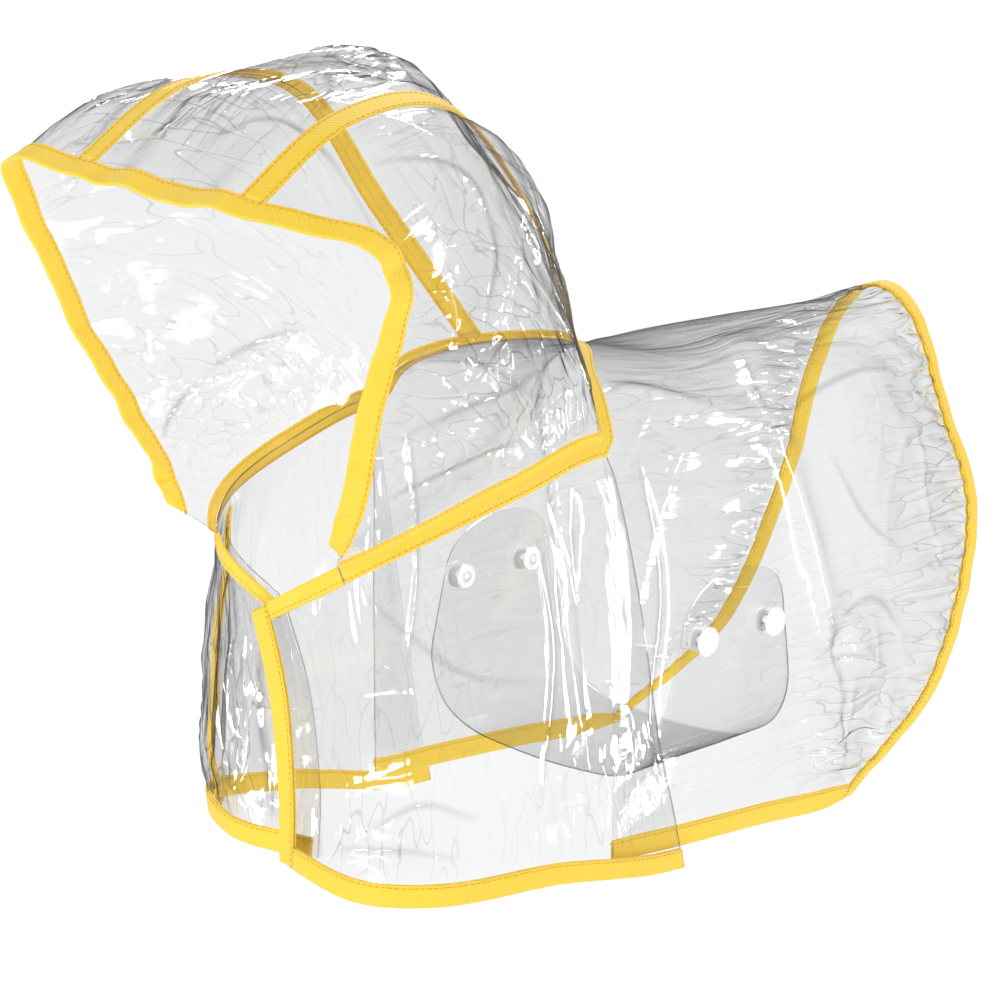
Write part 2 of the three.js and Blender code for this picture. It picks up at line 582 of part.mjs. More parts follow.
add("hood_seam_tape_right", seamTape(hood.crown, hood.right), tapeMaterial);


// Bindings of the front panels
const FRONT_LAST = FRONT_ROWS + 3;
const HOOD_END_COLUMN = FRONT_COLUMNS.indexOf(HOOD_START);
for (const side of ["left", "right"]) {
  const { flat, rows } = fronts[side];
  const edge = rows.map((row) => ({ edge: row[0], inner: row[1] }));
  add(`front_edge_binding_${side}`, bindingSolid(edge, INNER_FIRST), tapeMaterial);
  const first = side === "left" ? 1 : 0;
  const last = FRONT_COLUMNS.length - 1;
  const hem = stations(flat[0], flat[1], reach(flat[1], first, GAP), last);
  add(`front_hem_binding_${side}`, bindingSolid(hem, INNER_FIRST), tapeMaterial);
  const top = flat[FRONT_LAST - 1];
  const tapeStart = HOOD_END_COLUMN - GAP / top[HOOD_END_COLUMN].p.distanceTo(top[HOOD_END_COLUMN - 1].p);
  const neck = stations(flat[FRONT_LAST], top, reach(top, first, GAP), tapeStart);
  add(`neck_edge_binding_${side}`, bindingSolid(neck, EDGE_FIRST), tapeMaterial);
}

// Bindings of the back panel
const rearBand = backSheet.length - 2;
const hemLine = backSheet.map((row) => {
  const keys = row.map((v) => v.key);
  return { edge: row[0], inner: between(row, keys, BACK_COLUMNS[1]) };
});
const hemLineRight = backSheet.map((row) => {
  const keys = row.map((v) => v.key);
  return { edge: row[row.length - 1], inner: between(row, keys, 2 * TOP_ROW - BACK_COLUMNS[1]) };
});
for (const [side, line, turned] of [["left", hemLine, INNER_FIRST], ["right", hemLineRight, EDGE_FIRST]]) {
  const inner = line.map((v) => v.inner);
  const end = rearBand - GAP / inner[rearBand].p.distanceTo(inner[rearBand - 1].p);
  const hem = stations(line.map((v) => v.edge), inner, 0, end);
  add(`back_hem_binding_${side}`, bindingSolid(hem, turned), tapeMaterial);
}
const rear = back[back.length - 1].map((edge, j) => ({ edge, inner: back[back.length - 2][j] }));
add("rear_binding", bindingSolid(rear, EDGE_FIRST), tapeMaterial);

// Tape over the neck seam, from the hood's left end round the back to its right end
function neckTape() {
  const keyed = (row, keys) => row.map((v, j) => ({ ...v, at: keys[j] }));
  const onFront = (side) => fronts[side].flat[FRONT_LAST - 1].slice(HOOD_END_COLUMN);
  const acrossBack = back[1].filter((v) => v.key >= NECK_ROW && v.key <= 2 * TOP_ROW - NECK_ROW);
  const body = [
    ...keyed(onFront("left"), NECK_COLUMNS),
    ...keyed(acrossBack, acrossBack.map((v) => v.key + 1)),
    ...keyed(onFront("right").reverse(), NECK_COLUMNS.map((t) => 2 * CENTRE - t).reverse()),
  ];
  const onHood = hoodEdge(hoodLast - 1).map((v) => ({ ...v, at: v.place }));
  const places = union(body.map((v) => v.at), onHood.map((v) => v.at));
  const inside = places.filter((t) => t >= HOOD_START && t <= 2 * CENTRE - HOOD_START);
  return tapeSolid(
    inside.map((t) => ({
      near: between(onHood, onHood.map((v) => v.at), t),
      corner: necklinePoint(t),
      far: between(body, body.map((v) => v.at), t),
    })),
    [],
  );
}
add("neck_seam_tape", neckTape(), tapeMaterial);

// The belly strap lies inside the back panel and passes under the belly from flank to flank.
const STRAP_PATH = [
  { x: 83.6, z: -111, y: 41, half: 9 },
  { x: 83.8, z: -113.5, y: 40.5, half: 19 },
  { x: 84.0, z: -120, y: 39, half: 31 },
  { x: 84.2, z: -130, y: 37, half: 38 },
  { x: 84.4, z: -144, y: 36, half: 41 },
  { x: 84.2, z: -162, y: 35, half: 45 },
  { x: 83.0, z: -180, y: 34, half: 49 },
  { x: 78.0, z: -196, y: 34, half: 50 },
  { x: 68.0, z: -208, y: 34, half: 50 },
  { x: 50.0, z: -216, y: 34, half: 49 },
  { x: 26.0, z: -219, y: 34, half: 48 },
  { x: 0, z: -220, y: 34, half: 48 },
];
function strapPanel() {
  const half = STRAP_PATH.map((s) => steps(-1, 1, 8).map((k) => new THREE.Vector3(s.x, s.y + k * s.half, s.z)));
  const other = half.slice(0, -1).reverse().map((row) => row.map(mirrored));
  return withNormals([...half, ...other]);
}

// Snaps: a cap with a stem outside the back panel, and a ring on the stem inside the strap
const SNAPS = [
  { place: "front", y: 11, z: -142 },
  { place: "rear", y: 62, z: -142 },
];
const SNAP_SEAT = 0.5;
const RING_THICK = 2.0;
const SNAP_SEGMENTS = 20;
const STRAP_AT_SNAP = 84.4;
// Turns a closed outline of [radius, x] pairs about the line through y and z that runs along x.
function lathed(outline, sign, y, z) {
  const points = [];
  const faces = [];
  const n = outline.length;
  for (let i = 0; i < SNAP_SEGMENTS; i++) {
    const angle = (i / SNAP_SEGMENTS) * Math.PI * 2;
    const next = (i + 1) % SNAP_SEGMENTS;
    outline.forEach(([r, x], j) => {
      points.push(new THREE.Vector3(sign * x, y + r * Math.cos(angle), z + r * Math.sin(angle)));
      const k = (j + 1) % n;
      faces.push([i * n + j, i * n + k, next * n + k], [i * n + j, next * n + k, next * n + j]);
    });
  }
  return merged(points, faces);
}
// Joins points that coincide, which closes a turned form on its axis.
function merged(points, faces) {
  const seen = new Map();
  const kept = [];
  const index = points.map((p) => {
    const key = p.toArray().map((v) => Math.round(v * 1e4)).join(" ");
    if (!seen.has(key)) seen.set(key, kept.push(p) - 1);
    return seen.get(key);
  });
  const real = faces.map((f) => f.map((v) => index[v])).filter(([a, b, c]) => a !== b && b !== c && a !== c);
  return solid(kept, real);
}
function flankAt(y, z) {
  let best = null;
  backSheet.flat().forEach((v) => {
    const d = Math.hypot(v.p.y - y, v.p.z - z);
    if (v.p.x > 0 && (!best || d < best.d)) best = { d, x: v.p.x };
  });
  return best.x;
}
const toManifold = (g) =>
  new wasm.Manifold(
    new wasm.Mesh({
      numProp: 3,
      vertProperties: new Float32Array(g.attributes.position.array),
      triVerts: new Uint32Array(g.index.array),
    }),
  );
function fromManifold(m) {
  const mesh = m.getMesh();
  const geometry = new THREE.BufferGeometry();
  geometry.setAttribute("position", new THREE.Float32BufferAttribute(Array.from(mesh.vertProperties), mesh.numProp));
  geometry.setIndex(Array.from(mesh.triVerts));
  return geometry;
}
function withSnapHoles(geometry) {
  let m = toManifold(geometry);
  for (const { y, z } of SNAPS) {
    const hole = wasm.Manifold.cylinder(240, SNAP_STEM + GAP, SNAP_STEM + GAP, SNAP_SEGMENTS, true)
      .rotate([0, 90, 0])
      .translate([0, y, z]);
    m = m.subtract(hole);
  }
  return fromManifold(m);
}
add("back_panel_left", withSnapHoles(backHalves.left), filmMaterial);
add("back_panel_right", withSnapHoles(backHalves.right), filmMaterial);
add("belly_strap", withSnapHoles(sheetSolid(strapPanel())), filmMaterial);

for (const side of ["left", "right"]) {
  const sign = side === "left" ? 1 : -1;
  for (const { place, y, z } of SNAPS) {
    const seat = flankAt(y, z) + HALF_FILM + SNAP_SEAT;
    const ringTop = STRAP_AT_SNAP - HALF_FILM - SNAP_SEAT;
    const stemEnd = ringTop - RING_THICK + 0.3;
    const cap = [
      [0, stemEnd],
      [SNAP_STEM, stemEnd],
      [SNAP_STEM, seat],
      [SNAP_RADIUS, seat],
      [SNAP_RADIUS, seat + 0.9],
      [SNAP_RADIUS - 1.2, seat + 1.9],
      [SNAP_RADIUS - 3.5, seat + 2.1],
      [SNAP_RADIUS - 4.2, seat + 1.6],
      [0, seat + 1.6],
    ];
    const ring = [
      [SNAP_STEM + GAP, ringTop],
      [SNAP_RADIUS - 1, ringTop],
      [SNAP_RADIUS - 1, ringTop - RING_THICK + 0.6],
      [SNAP_RADIUS - 1.8, ringTop - RING_THICK],
      [SNAP_STEM + GAP, ringTop - RING_THICK],
    ];
    add(`snap_cap_${side}_${place}`, lathed(cap, sign, y, z), snapMaterial);
    add(`snap_socket_${side}_${place}`, lathed(ring, sign, y, z), snapMaterial);
  }
}

export default group;
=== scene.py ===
"""Hooded dog raincoat in clear film with yellow bound edges: what shows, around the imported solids."""
import json

import bpy
import numpy as np
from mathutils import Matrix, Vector

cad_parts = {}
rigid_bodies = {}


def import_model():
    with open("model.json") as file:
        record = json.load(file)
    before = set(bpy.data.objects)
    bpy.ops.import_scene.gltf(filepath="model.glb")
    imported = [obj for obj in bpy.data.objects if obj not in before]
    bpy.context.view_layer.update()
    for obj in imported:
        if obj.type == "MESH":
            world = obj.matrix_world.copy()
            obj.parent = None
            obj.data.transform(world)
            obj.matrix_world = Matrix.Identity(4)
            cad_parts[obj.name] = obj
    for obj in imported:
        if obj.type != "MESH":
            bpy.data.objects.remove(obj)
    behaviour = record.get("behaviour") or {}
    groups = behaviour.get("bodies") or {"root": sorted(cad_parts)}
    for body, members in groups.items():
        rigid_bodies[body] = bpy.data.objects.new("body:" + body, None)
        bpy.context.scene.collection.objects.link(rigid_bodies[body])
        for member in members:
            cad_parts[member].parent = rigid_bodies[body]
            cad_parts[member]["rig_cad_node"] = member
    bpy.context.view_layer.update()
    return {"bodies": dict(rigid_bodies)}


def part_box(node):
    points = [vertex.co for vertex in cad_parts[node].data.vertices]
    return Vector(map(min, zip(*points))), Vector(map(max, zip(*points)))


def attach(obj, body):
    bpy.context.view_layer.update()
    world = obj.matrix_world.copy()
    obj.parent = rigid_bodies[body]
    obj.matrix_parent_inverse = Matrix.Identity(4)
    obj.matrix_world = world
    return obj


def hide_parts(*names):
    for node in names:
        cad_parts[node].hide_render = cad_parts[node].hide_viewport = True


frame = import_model()
MM = 0.001

# Sizes of the coat's materials, in millimetres
FILM_HALF = 0.2  # half the film's wall
TAPE_NEAR = 0.35  # from the film's middle to the near face of a binding
TAPE_FAR = 1.05  # and to its far face
BAND = 10.0  # how far a folded binding reaches onto its panel
SEAM_HALF = 5.6  # half width of the tape over a hood seam
NECK_ABOVE = 5.2  # the neck tape's reach onto the hood
NECK_BELOW = 7.6  # and onto the body
STITCH = 2.3  # length of one stitch
STITCH_PITCH = 3.1
STITCH_RADIUS = 0.24
STITCH_IN = 1.6  # from the tape's edge to its stitch line
STITCH_SINK = 0.12  # how deep a stitch line lies below its face
GROOVE_DEPTH = 0.22  # what the stitches draw in
GROOVE_WIDTH = 0.6
NOSE_OFF = 0.15  # from the film's edge to where the folded tape's outer face turns
CLEFT_OFF = 0.1  # and its inner face
TAPE_BULGE = 0.2  # how far a tape's long edges are rounded out
NECK_BAND = 8.2  # reach of the bindings of the neckline below the hood

# The body's net of sections, as the solids have it: hem, low, mid, neck, side and top points, in millimetres
NECK_ROW = 3
TOP_ROW = 5
BACK_START = 4
REAR = 8
LEFT_SECTIONS = [
    [(-11, -184, -232), (-12, -183, -196), (-10, -189, -147), (-4, -204, -101)],
    [(42, -186, -236), (43, -180, -190), (45, -180, -135), (40, -196, -76)],
    [(70, -158, -239), (71, -152, -185), (71, -150, -125), (64, -166, -58)],
    [(82, -110, -241), (83, -105, -180), (82, -103, -110), (75, -112, -42)],
    [(86, -54, -241), (86, -54, -178), (85, -54, -105), (77, -55, -31), (48, -36, -6), (0, 0, 0)],
    [(88, -2, -245), (88, -2, -182), (87, 2, -112), (79, 12, -44), (48, 40, -16), (0, 68, -13)],
    [(88, 58, -250), (89, 60, -185), (88, 64, -112), (79, 78, -44), (46, 108, -15), (0, 132, -11)],
    [(88, 105, -255), (88, 125, -190), (84, 148, -118), (70, 165, -48), (38, 190, -16), (0, 200, -7)],
    [(86, 134, -255), (78, 223, -211), (67, 267, -128), (46, 263, -64), (26, 264, -18), (0, 266, -2)],
]
RIGHT_CHEST = [
    [(2, -173, -231), (2, -171, -196), (2, -177, -147), (2, -192, -99)],
    [(42, -188, -226), (44, -189, -190), (45, -188, -135), (38, -195, -76)],
    [(80, -170, -222), (84, -170, -183), (80, -168, -125), (64, -166, -58)],
    [(88, -114, -232), (89, -112, -180), (86, -108, -110), (75, -112, -42)],
]
# The hood's net: place on the neck seam, then face, brow, crown and back points
CENTRE = 6.0
HOOD_START = 1.15
HOOD_STOP = 2 * CENTRE - HOOD_START
SEAM_LEFT = 5.25
SEAM_RIGHT = 2 * CENTRE - SEAM_LEFT
HOOD_SECTIONS = [
    (1.15, (55, -208, -58), (55, -202, -63), (51, -199, -66), (47, -196, -69)),
    (2.0, (63, -205, -30), (74, -194, -34), (73, -184, -42), (69, -175, -50)),
    (2.8, (72, -204, 8), (86, -180, 2), (86, -155, -12), (79, -134, -28)),
    (3.4, (83, -201, 38), (94, -170, 35), (91, -135, 18), (82, -105, -12)),
    (4.0, (89, -202, 67), (94, -168, 76), (89, -122, 66), (80, -78, 20)),
    (4.6, (80, -216, 82), (82, -170, 108), (74, -116, 105), (68, -78, 52)),
    (5.25, (47, -251, 94), (50, -193, 130), (50, -128, 130), (54, -76, 72)),
    (6.0, (0, -258, 98), (0, -198, 140), (0, -126, 150), (0, -54, 80)),
    (6.75, (-50, -264, 104), (-50, -200, 139), (-47, -134, 132), (-52, -78, 70)),
    (7.4, (-102, -264, 104), (-86, -210, 131), (-74, -133, 112), (-67, -80, 48)),
    (8.0, (-105, -250, 72), (-100, -200, 80), (-90, -135, 62), (-79, -82, 12)),
    (8.6, (-99, -236, 35), (-95, -190, 32), (-91, -138, 18), (-82, -105, -12)),
    (9.2, (-90, -221, -2), (-88, -187, -4), (-86, -157, -14), (-79, -134, -28)),
    (10.0, (-76, -209, -34), (-75, -195, -37), (-73, -184, -43), (-69, -175, -50)),
    (10.85, (-62, -206, -60), (-56, -202, -63), (-52, -199, -66), (-48, -196, -69)),
]


def smooth(a, b, x):
    k = np.clip((np.asarray(x, float) - a) / (b - a), 0, 1)
    return k * k * (3 - 2 * k)


def unit(v):
    return v / np.maximum(np.linalg.norm(v, axis=-1, keepdims=True), 1e-9)


def padded_net(net):
    """A net with one more point past each end, both ways, for a curve that runs on."""
    for axis in (0, 1):
        net = np.moveaxis(net, axis, 0)
        net = np.concatenate([2 * net[:1] - net[1:2], net, 2 * net[-1:] - net[-2:-1]])
        net = np.moveaxis(net, 0, axis)
    return net


def weights(x, count):
    i = np.clip(np.floor(x).astype(int), 0, count - 2)
    t = x - i
    ends = (0.5 * (-t + 2 * t**2 - t**3), 0.5 * (-(t**2) + t**3))
    middles = (0.5 * (2 - 5 * t**2 + 3 * t**3), 0.5 * (t + 4 * t**2 - 3 * t**3))
    return i, np.stack([ends[0], *middles, ends[1]], axis=-1)


def surface(net, c, r):
    """Points of a smooth surface through a net, at section c and row r."""
    c, r = np.broadcast_arrays(np.asarray(c, float), np.asarray(r, float))
    i, wc = weights(c, net.shape[0] - 2)
    j, wr = weights(r, net.shape[1] - 2)
    out = np.zeros(c.shape + (3,))
    for a in range(4):
        for b in range(4):
            out += (wc[..., a] * wr[..., b])[..., None] * net[i + a, j + b]
    return out


def section_net(sections):
    rows = []
    for points in sections:
        row = [np.array(p, float) for p in points]
        if len(row) == 6:
            row.append(row[4] * (-1, 1, 1))
        rows.append(row)
    for c, row in enumerate(rows):
        if len(row) > 4:
            continue
        if c == BACK_START - 1:
            row += [2 * rows[BACK_START][k] - rows[BACK_START + 1][k] for k in (4, 5, 6)]
        else:
            for _ in range(3):
                row.append(2 * row[-1] - row[-2])
    return padded_net(np.array(rows))


NETS = {"left": section_net(LEFT_SECTIONS), "right": section_net(RIGHT_CHEST + LEFT_SECTIONS[BACK_START:])}


def body(side, c, r):
    p = surface(NETS[side], c, r)
    return p * (-1, 1, 1) if side == "right" else p


def body_normal(side, c, r):
    e = 0.02
    dc = body(side, c + e, r) - body(side, c - e, r)
    dr = body(side, c, r + e) - body(side, c, r - e)
    return unit(np.cross(dc, dr)) * (-1 if side == "right" else 1)


def around(fn, c, q):
    """A function of one side's rows made one of rows over the spine and down the other side."""
    c, q = np.broadcast_arrays(np.asarray(c, float), np.asarray(q, float))
    left = fn("left", c, np.minimum(q, TOP_ROW))
    right = fn("right", c, np.minimum(2 * TOP_ROW - q, TOP_ROW))
    return np.where((q <= TOP_ROW)[..., None], left, right)


def neckline(t):
    t = np.asarray(t, float)
    a = np.where(t <= CENTRE, t, 2 * CENTRE - t)
    low_c, high_r = np.minimum(a, BACK_START), np.maximum(a - BACK_START, 0) + NECK_ROW
    left, right = body("left", low_c, high_r), body("right", low_c, high_r)
    return np.where((t <= CENTRE)[..., None], left, right)


HOOD_SEAMS = np.array([s[0] for s in HOOD_SECTIONS])
HOOD_END = 4
HOOD_NET = np.concatenate(
    [np.array([s[1:] for s in HOOD_SECTIONS], float), neckline(HOOD_SEAMS)[:, None]], axis=1
)
HOOD_PADDED = padded_net(HOOD_NET)


def hood(t, s):
    t, s = np.broadcast_arrays(np.asarray(t, float), np.asarray(s, float))
    i = np.clip(np.searchsorted(HOOD_SEAMS, t, side="right") - 1, 0, len(HOOD_SEAMS) - 2)
    u = i + (t - HOOD_SEAMS[i]) / (HOOD_SEAMS[i + 1] - HOOD_SEAMS[i])
    end = surface(HOOD_PADDED, u, np.full_like(s, HOOD_END))
    return surface(HOOD_PADDED, u, s) + (neckline(t) - end) * smooth(1.5, HOOD_END, s)[..., None]


def hood_normal(t, s):
    e = 0.02
    dt = hood(t + e, s) - hood(t - e, s)
    ds = hood(t, s + e) - hood(t, s - e)
    return unit(np.cross(ds, dt))


# Folds and crumples of the film
BODY_FOLDS = [
    (2.2, 9, [(60, -38, -4), (65, -15, -6), (72, 22, -23), (78, 70, -49)]),
    (2.6, 10, [(20, 112, -4), (60, 85, -20), (78, 73, -46), (84, 88, -94), (87, 112, -152)]),
    (-1.8, 9, [(87, 112, -152), (88, 128, -211), (86, 131, -250)]),
    (-2.0, 10, [(-60, -186, -100), (-66, -184, -150), (-60, -186, -205)]),
    (1.6, 8, [(-36, -192, -105), (-40, -192, -160), (-34, -192, -210)]),
    (-1.6, 9, [(76, -70, -60), (84, -80, -110), (84, -70, -170)]),
]
HOOD_FOLDS = [
    (-2.4, 9, [(90, -185, -10), (88, -140, -8), (80, -90, -20)]),
    (2.2, 9, [(96, -175, 40), (88, -120, 36), (78, -75, 4)]),
    (-2.2, 10, [(86, -160, 92), (76, -110, 66), (70, -70, 20)]),
    (2.0, 8, [(0, -215, 132), (20, -150, 150), (10, -90, 118)]),
    (-1.8, 9, [(-10, -130, 150), (-8, -70, 90), (-4, -30, 36)]),
    (-2.4, 9, [(-92, -185, -10), (-88, -140, -8), (-80, -90, -20)]),
]


def line_distance(p, line):
    best = np.full(p.shape[:-1], 1e9)
    for a, b in zip(line, line[1:]):
        a, b = np.array(a, float), np.array(b, float)
        t = np.clip(((p - a) @ (b - a)) / ((b - a) @ (b - a)), 0, 1)
        best = np.minimum(best, np.linalg.norm(p - a - t[..., None] * (b - a), axis=-1))
    return best


def folds(p, table):
    return sum(height * np.exp(-((line_distance(p, line) / width) ** 2)) for height, width, line in table)


def drawn_out(p, along, stretch):
    """Places squeezed along one direction, so that what is made from them comes out drawn along it."""
    along = unit(np.array(along, float))
    return p - (p @ along)[..., None] * along * (1 - 1 / stretch)


def warped(p, size, rng):
    warp = np.zeros_like(p)
    for _ in range(4):
        d, o = unit(rng.normal(size=3)), rng.uniform(0, 6.28, 3)
        warp += np.sin((p @ d)[..., None] / (size * rng.uniform(0.8, 1.8)) + o)
    return p + warp * size * 0.25


def facets(p, size, seed):
    """Flat facets that meet in crisp lines, from folded waves in several directions."""
    rng = np.random.default_rng(seed)
    p = warped(p, size, rng)
    total = np.zeros(p.shape[:-1])
    for k in range(5):
        d, long = unit(rng.normal(size=3)), size * rng.uniform(0.9, 2.6)
        x = p @ d / long + rng.uniform(0, 1)
        total += long / size * (2 * np.abs(x - np.floor(x + 0.5)) - 0.5) * 0.45
    return total


def veins(p, size, seed):
    """Long thin raised lines that wind and branch."""
    rng = np.random.default_rng(seed + 500)
    p = warped(p, size * 1.3, rng)
    w = np.zeros(p.shape[:-1])
    for _ in range(3):
        w += np.sin(p @ unit(rng.normal(size=3)) / (size * rng.uniform(0.35, 0.6)) + rng.uniform(0, 6.28))
    return np.exp(-((w / 0.28) ** 2))


def crumple(p, size, seed, along=(0, 0, 1), stretch=1.0):
    p = drawn_out(p, along, stretch)
    return 0.75 * facets(p, size, seed) + 0.35 * veins(p, size, seed)


# Where the film is crumpled: middle, reach, height, facet size, seed, direction it is drawn along, stretch
BODY_CRUMPLES = [
    ((-55, -185, -165), (60, 50, 80), 4.2, 15, 11, (0.1, 0, 1), 4.0),
    ((20, -185, -212), (80, 45, 34), 2.6, 20, 12, (1, 0, 0.35), 2.0),
    ((60, -165, -140), (50, 50, 50), 1.2, 26, 21, (1, 0.6, 0.5), 2.6),
    ((85, -60, -210), (30, 60, 36), 1.6, 16, 13, (0, 1, 0.3), 1.6),
    ((80, -70, -100), (30, 40, 70), 0.7, 26, 14, (0, 0.3, -1), 5.0),
    ((60, 225, -120), (50, 60, 110), 3.6, 16, 15, (0.2, 1, 0.5), 2.8),
    ((85, 135, -205), (30, 50, 60), 3.0, 15, 16, (0, 1, -0.5), 2.2),
    ((87, 70, -150), (25, 50, 70), 1.2, 22, 17, (0, 0.25, 1), 3.0),
    ((75, 30, -30), (40, 70, 35), 2.0, 20, 18, (0, 1, -0.4), 3.0),
    ((20, 150, -8), (60, 120, 25), 1.6, 22, 19, (0, 1, 0), 3.4),
    ((-70, 60, -120), (50, 220, 130), 1.0, 34, 20, (0, 0.5, 1), 2.6),
]
HOOD_CRUMPLES = [
    ((50, -85, 80), (50, 40, 70), 6.0, 13, 31, (0.2, 0.45, -1), 3.6),
    ((75, -85, 10), (40, 40, 50), 3.0, 15, 37, (0.2, 0.4, -1), 3.0),
    ((88, -140, 30), (30, 60, 60), 3.0, 22, 32, (0, 1, 0.9), 2.8),
    ((30, -165, 148), (70, 60, 30), 5.0, 20, 33, (1, 0.8, 0), 1.8),
    ((-20, -215, 138), (50, 40, 30), 3.0, 17, 38, (1, 0.6, 0), 1.6),
    ((-70, -190, 110), (50, 70, 50), 3.6, 17, 34, (0.3, 1, -0.4), 2.0),
    ((-85, -150, 0), (30, 80, 70), 2.0, 20, 35, (0, 1, 0.2), 2.0),
    ((0, -60, 60), (60, 40, 60), 2.6, 16, 36, (0, 0.5, -1), 2.4),
]


# Single sharp creases: height, width, and places along each as section and row
BODY_CREASES = {
    "left": [
        (3.2, 3.0, [(4.1, 3.6), (4.4, 3.7), (5.1, 3.4), (5.85, 2.95)]),
        (3.4, 3.2, [(5.7, 4.6), (5.65, 3.7), (5.85, 3.0), (6.3, 2.25), (6.65, 1.5), (7.0, 0.8), (7.2, 0.3)]),
        (1.4, 2.2, [(5.85, 3.0), (6.3, 3.25), (6.9, 3.4), (7.4, 3.3)]),
        (-1.3, 2.4, [(5.0, 4.1), (5.5, 4.2), (6.2, 4.0), (6.9, 4.2)]),
        (1.2, 2.2, [(6.5, 2.7), (6.9, 2.2), (7.3, 1.9)]),
        (1.4, 2.2, [(6.7, 1.5), (7.1, 1.6), (7.5, 1.3)]),
        (-1.4, 2.4, [(4.35, 2.9), (4.6, 2.0), (4.5, 1.1), (4.7, 0.5)]),
        (1.1, 2.2, [(3.55, 2.8), (3.5, 1.9), (3.7, 0.9)]),
        (-1.0, 2.4, [(3.1, 2.6), (3.2, 1.6), (3.05, 0.6)]),
        (1.1, 2.0, [(1.3, 2.75), (1.7, 2.3), (2.2, 1.9), (2.9, 1.6)]),
        (1.2, 1.8, [(1.1, 0.75), (1.7, 0.95), (2.4, 0.7)]),
        (-1.1, 1.8, [(0.7, 0.5), (1.4, 0.55), (2.2, 0.4)]),
    ],
    "right": [
        (3.0, 2.2, [(0.35, 2.6), (0.5, 1.6), (0.4, 0.4)]),
        (-2.6, 2.4, [(0.75, 2.9), (0.85, 1.8), (0.75, 0.6)]),
        (3.2, 2.0, [(1.1, 2.8), (1.15, 1.7), (1.3, 0.5)]),
        (-2.4, 2.2, [(1.45, 2.6), (1.4, 1.5), (1.6, 0.4)]),
        (2.4, 2.2, [(1.75, 2.7), (1.85, 1.6), (1.7, 0.5)]),
        (1.8, 2.4, [(4.2, 3.5), (4.7, 3.5), (5.3, 3.2), (5.9, 2.8)]),
        (1.8, 2.6, [(5.5, 4.2), (5.7, 3.3), (6.1, 2.4), (6.4, 1.5), (6.6, 0.7)]),
        (-1.3, 2.4, [(4.4, 2.7), (4.6, 1.8), (4.5, 0.9)]),
    ],
}
HOOD_CREASES = [
    (2.6, 2.0, [(5.15, 1.2), (5.0, 2.1), (5.05, 3.0), (4.9, 3.75)]),
    (-2.2, 2.0, [(5.3, 1.6), (5.45, 2.5), (5.3, 3.2), (5.45, 3.8)]),
    (2.4, 2.0, [(4.75, 1.4), (4.55, 2.3), (4.6, 3.1), (4.45, 3.7)]),
    (2.2, 2.2, [(5.8, 1.5), (5.75, 2.3), (5.9, 3.0), (5.7, 3.7)]),
    (-1.8, 2.0, [(4.3, 1.7), (4.1, 2.5), (4.15, 3.2), (4.0, 3.7)]),
    (1.9, 2.4, [(3.9, 2.9), (3.4, 2.3), (2.9, 1.5), (2.5, 0.8)]),
    (-1.7, 2.4, [(3.5, 3.4), (2.9, 2.9), (2.4, 2.2), (2.0, 1.3)]),
    (2.0, 2.2, [(4.9, 0.7), (4.5, 1.3), (4.0, 1.6), (3.5, 1.5)]),
    (2.2, 2.4, [(6.6, 0.5), (6.2, 1.1), (5.7, 1.3), (5.4, 1.0)]),
    (-2.2, 2.4, [(6.5, 1.4), (6.0, 1.9), (5.5, 1.7)]),
    (2.6, 2.4, [(7.9, 0.5), (7.4, 1.2), (6.9, 1.5)]),
    (-2.2, 2.2, [(7.7, 1.6), (7.2, 2.1), (6.9, 2.7), (7.0, 3.5)]),
    (2.0, 2.2, [(8.3, 2.8), (8.8, 2.2), (9.4, 1.4), (9.9, 0.8)]),
]


def track(places, count=14):
    """Places along a crease, from its few given ones."""
    places = np.array(places, float)
    at = np.linspace(0, len(places) - 1, count * (len(places) - 1) + 1)
    net = padded_net(np.stack([np.c_[places, np.zeros(len(places))]] * 2, axis=1))
    i, w = weights(at, net.shape[0] - 2)
    return sum(w[:, a, None] * net[i + a, 1] for a in range(4))[:, :2]


def along_line(p, line):
    """Distance from a line, and how far along it, from 0 to 1."""
    best, where = np.full(p.shape[:-1], 1e9), np.zeros(p.shape[:-1])
    for k, (a, b) in enumerate(zip(line, line[1:])):
        t = np.clip(((p - a) @ (b - a)) / max((b - a) @ (b - a), 1e-9), 0, 1)
        d = np.linalg.norm(p - a - t[..., None] * (b - a), axis=-1)
        where = np.where(d < best, (k + t) / (len(line) - 1), where)
        best = np.minimum(best, d)
    return best, where


def creases(p, lines_on):
    """Lift of the film by its single creases, and how sharply it is bent there."""
    out, bent = np.zeros(p.shape[:-1]), np.zeros(p.shape[:-1])
    for height, width, line in lines_on:
        d, where = along_line(p, line)
        taper = np.sin(np.pi * np.clip(where, 0, 1)) ** 0.6
        out += height * np.exp(-d / width) * taper
        bent = np.maximum(bent, np.exp(-((d / 1.5) ** 2)) * taper * min(abs(height) / 2.2, 1))
    return out, bent


def crumples(p, table, lines_on):
    """How far the film is pushed out at each place, how creased it is there, and how sharply bent."""
    out = 0.12 * crumple(p, 30, 99)
    creased = np.zeros(p.shape[:-1])
    for middle, reach, height, size, seed, along, stretch in table:
        near = np.exp(-((((p - middle) / reach) ** 2).sum(axis=-1)))
        out = out + near * height * crumple(p, size, seed, along, stretch)
        creased = np.maximum(creased, near * min(height / 3.2, 1) ** 1.4)
    lift, bent = creases(p, lines_on)
    return out + lift, creased, bent


# Meshes
stitch_lines = []


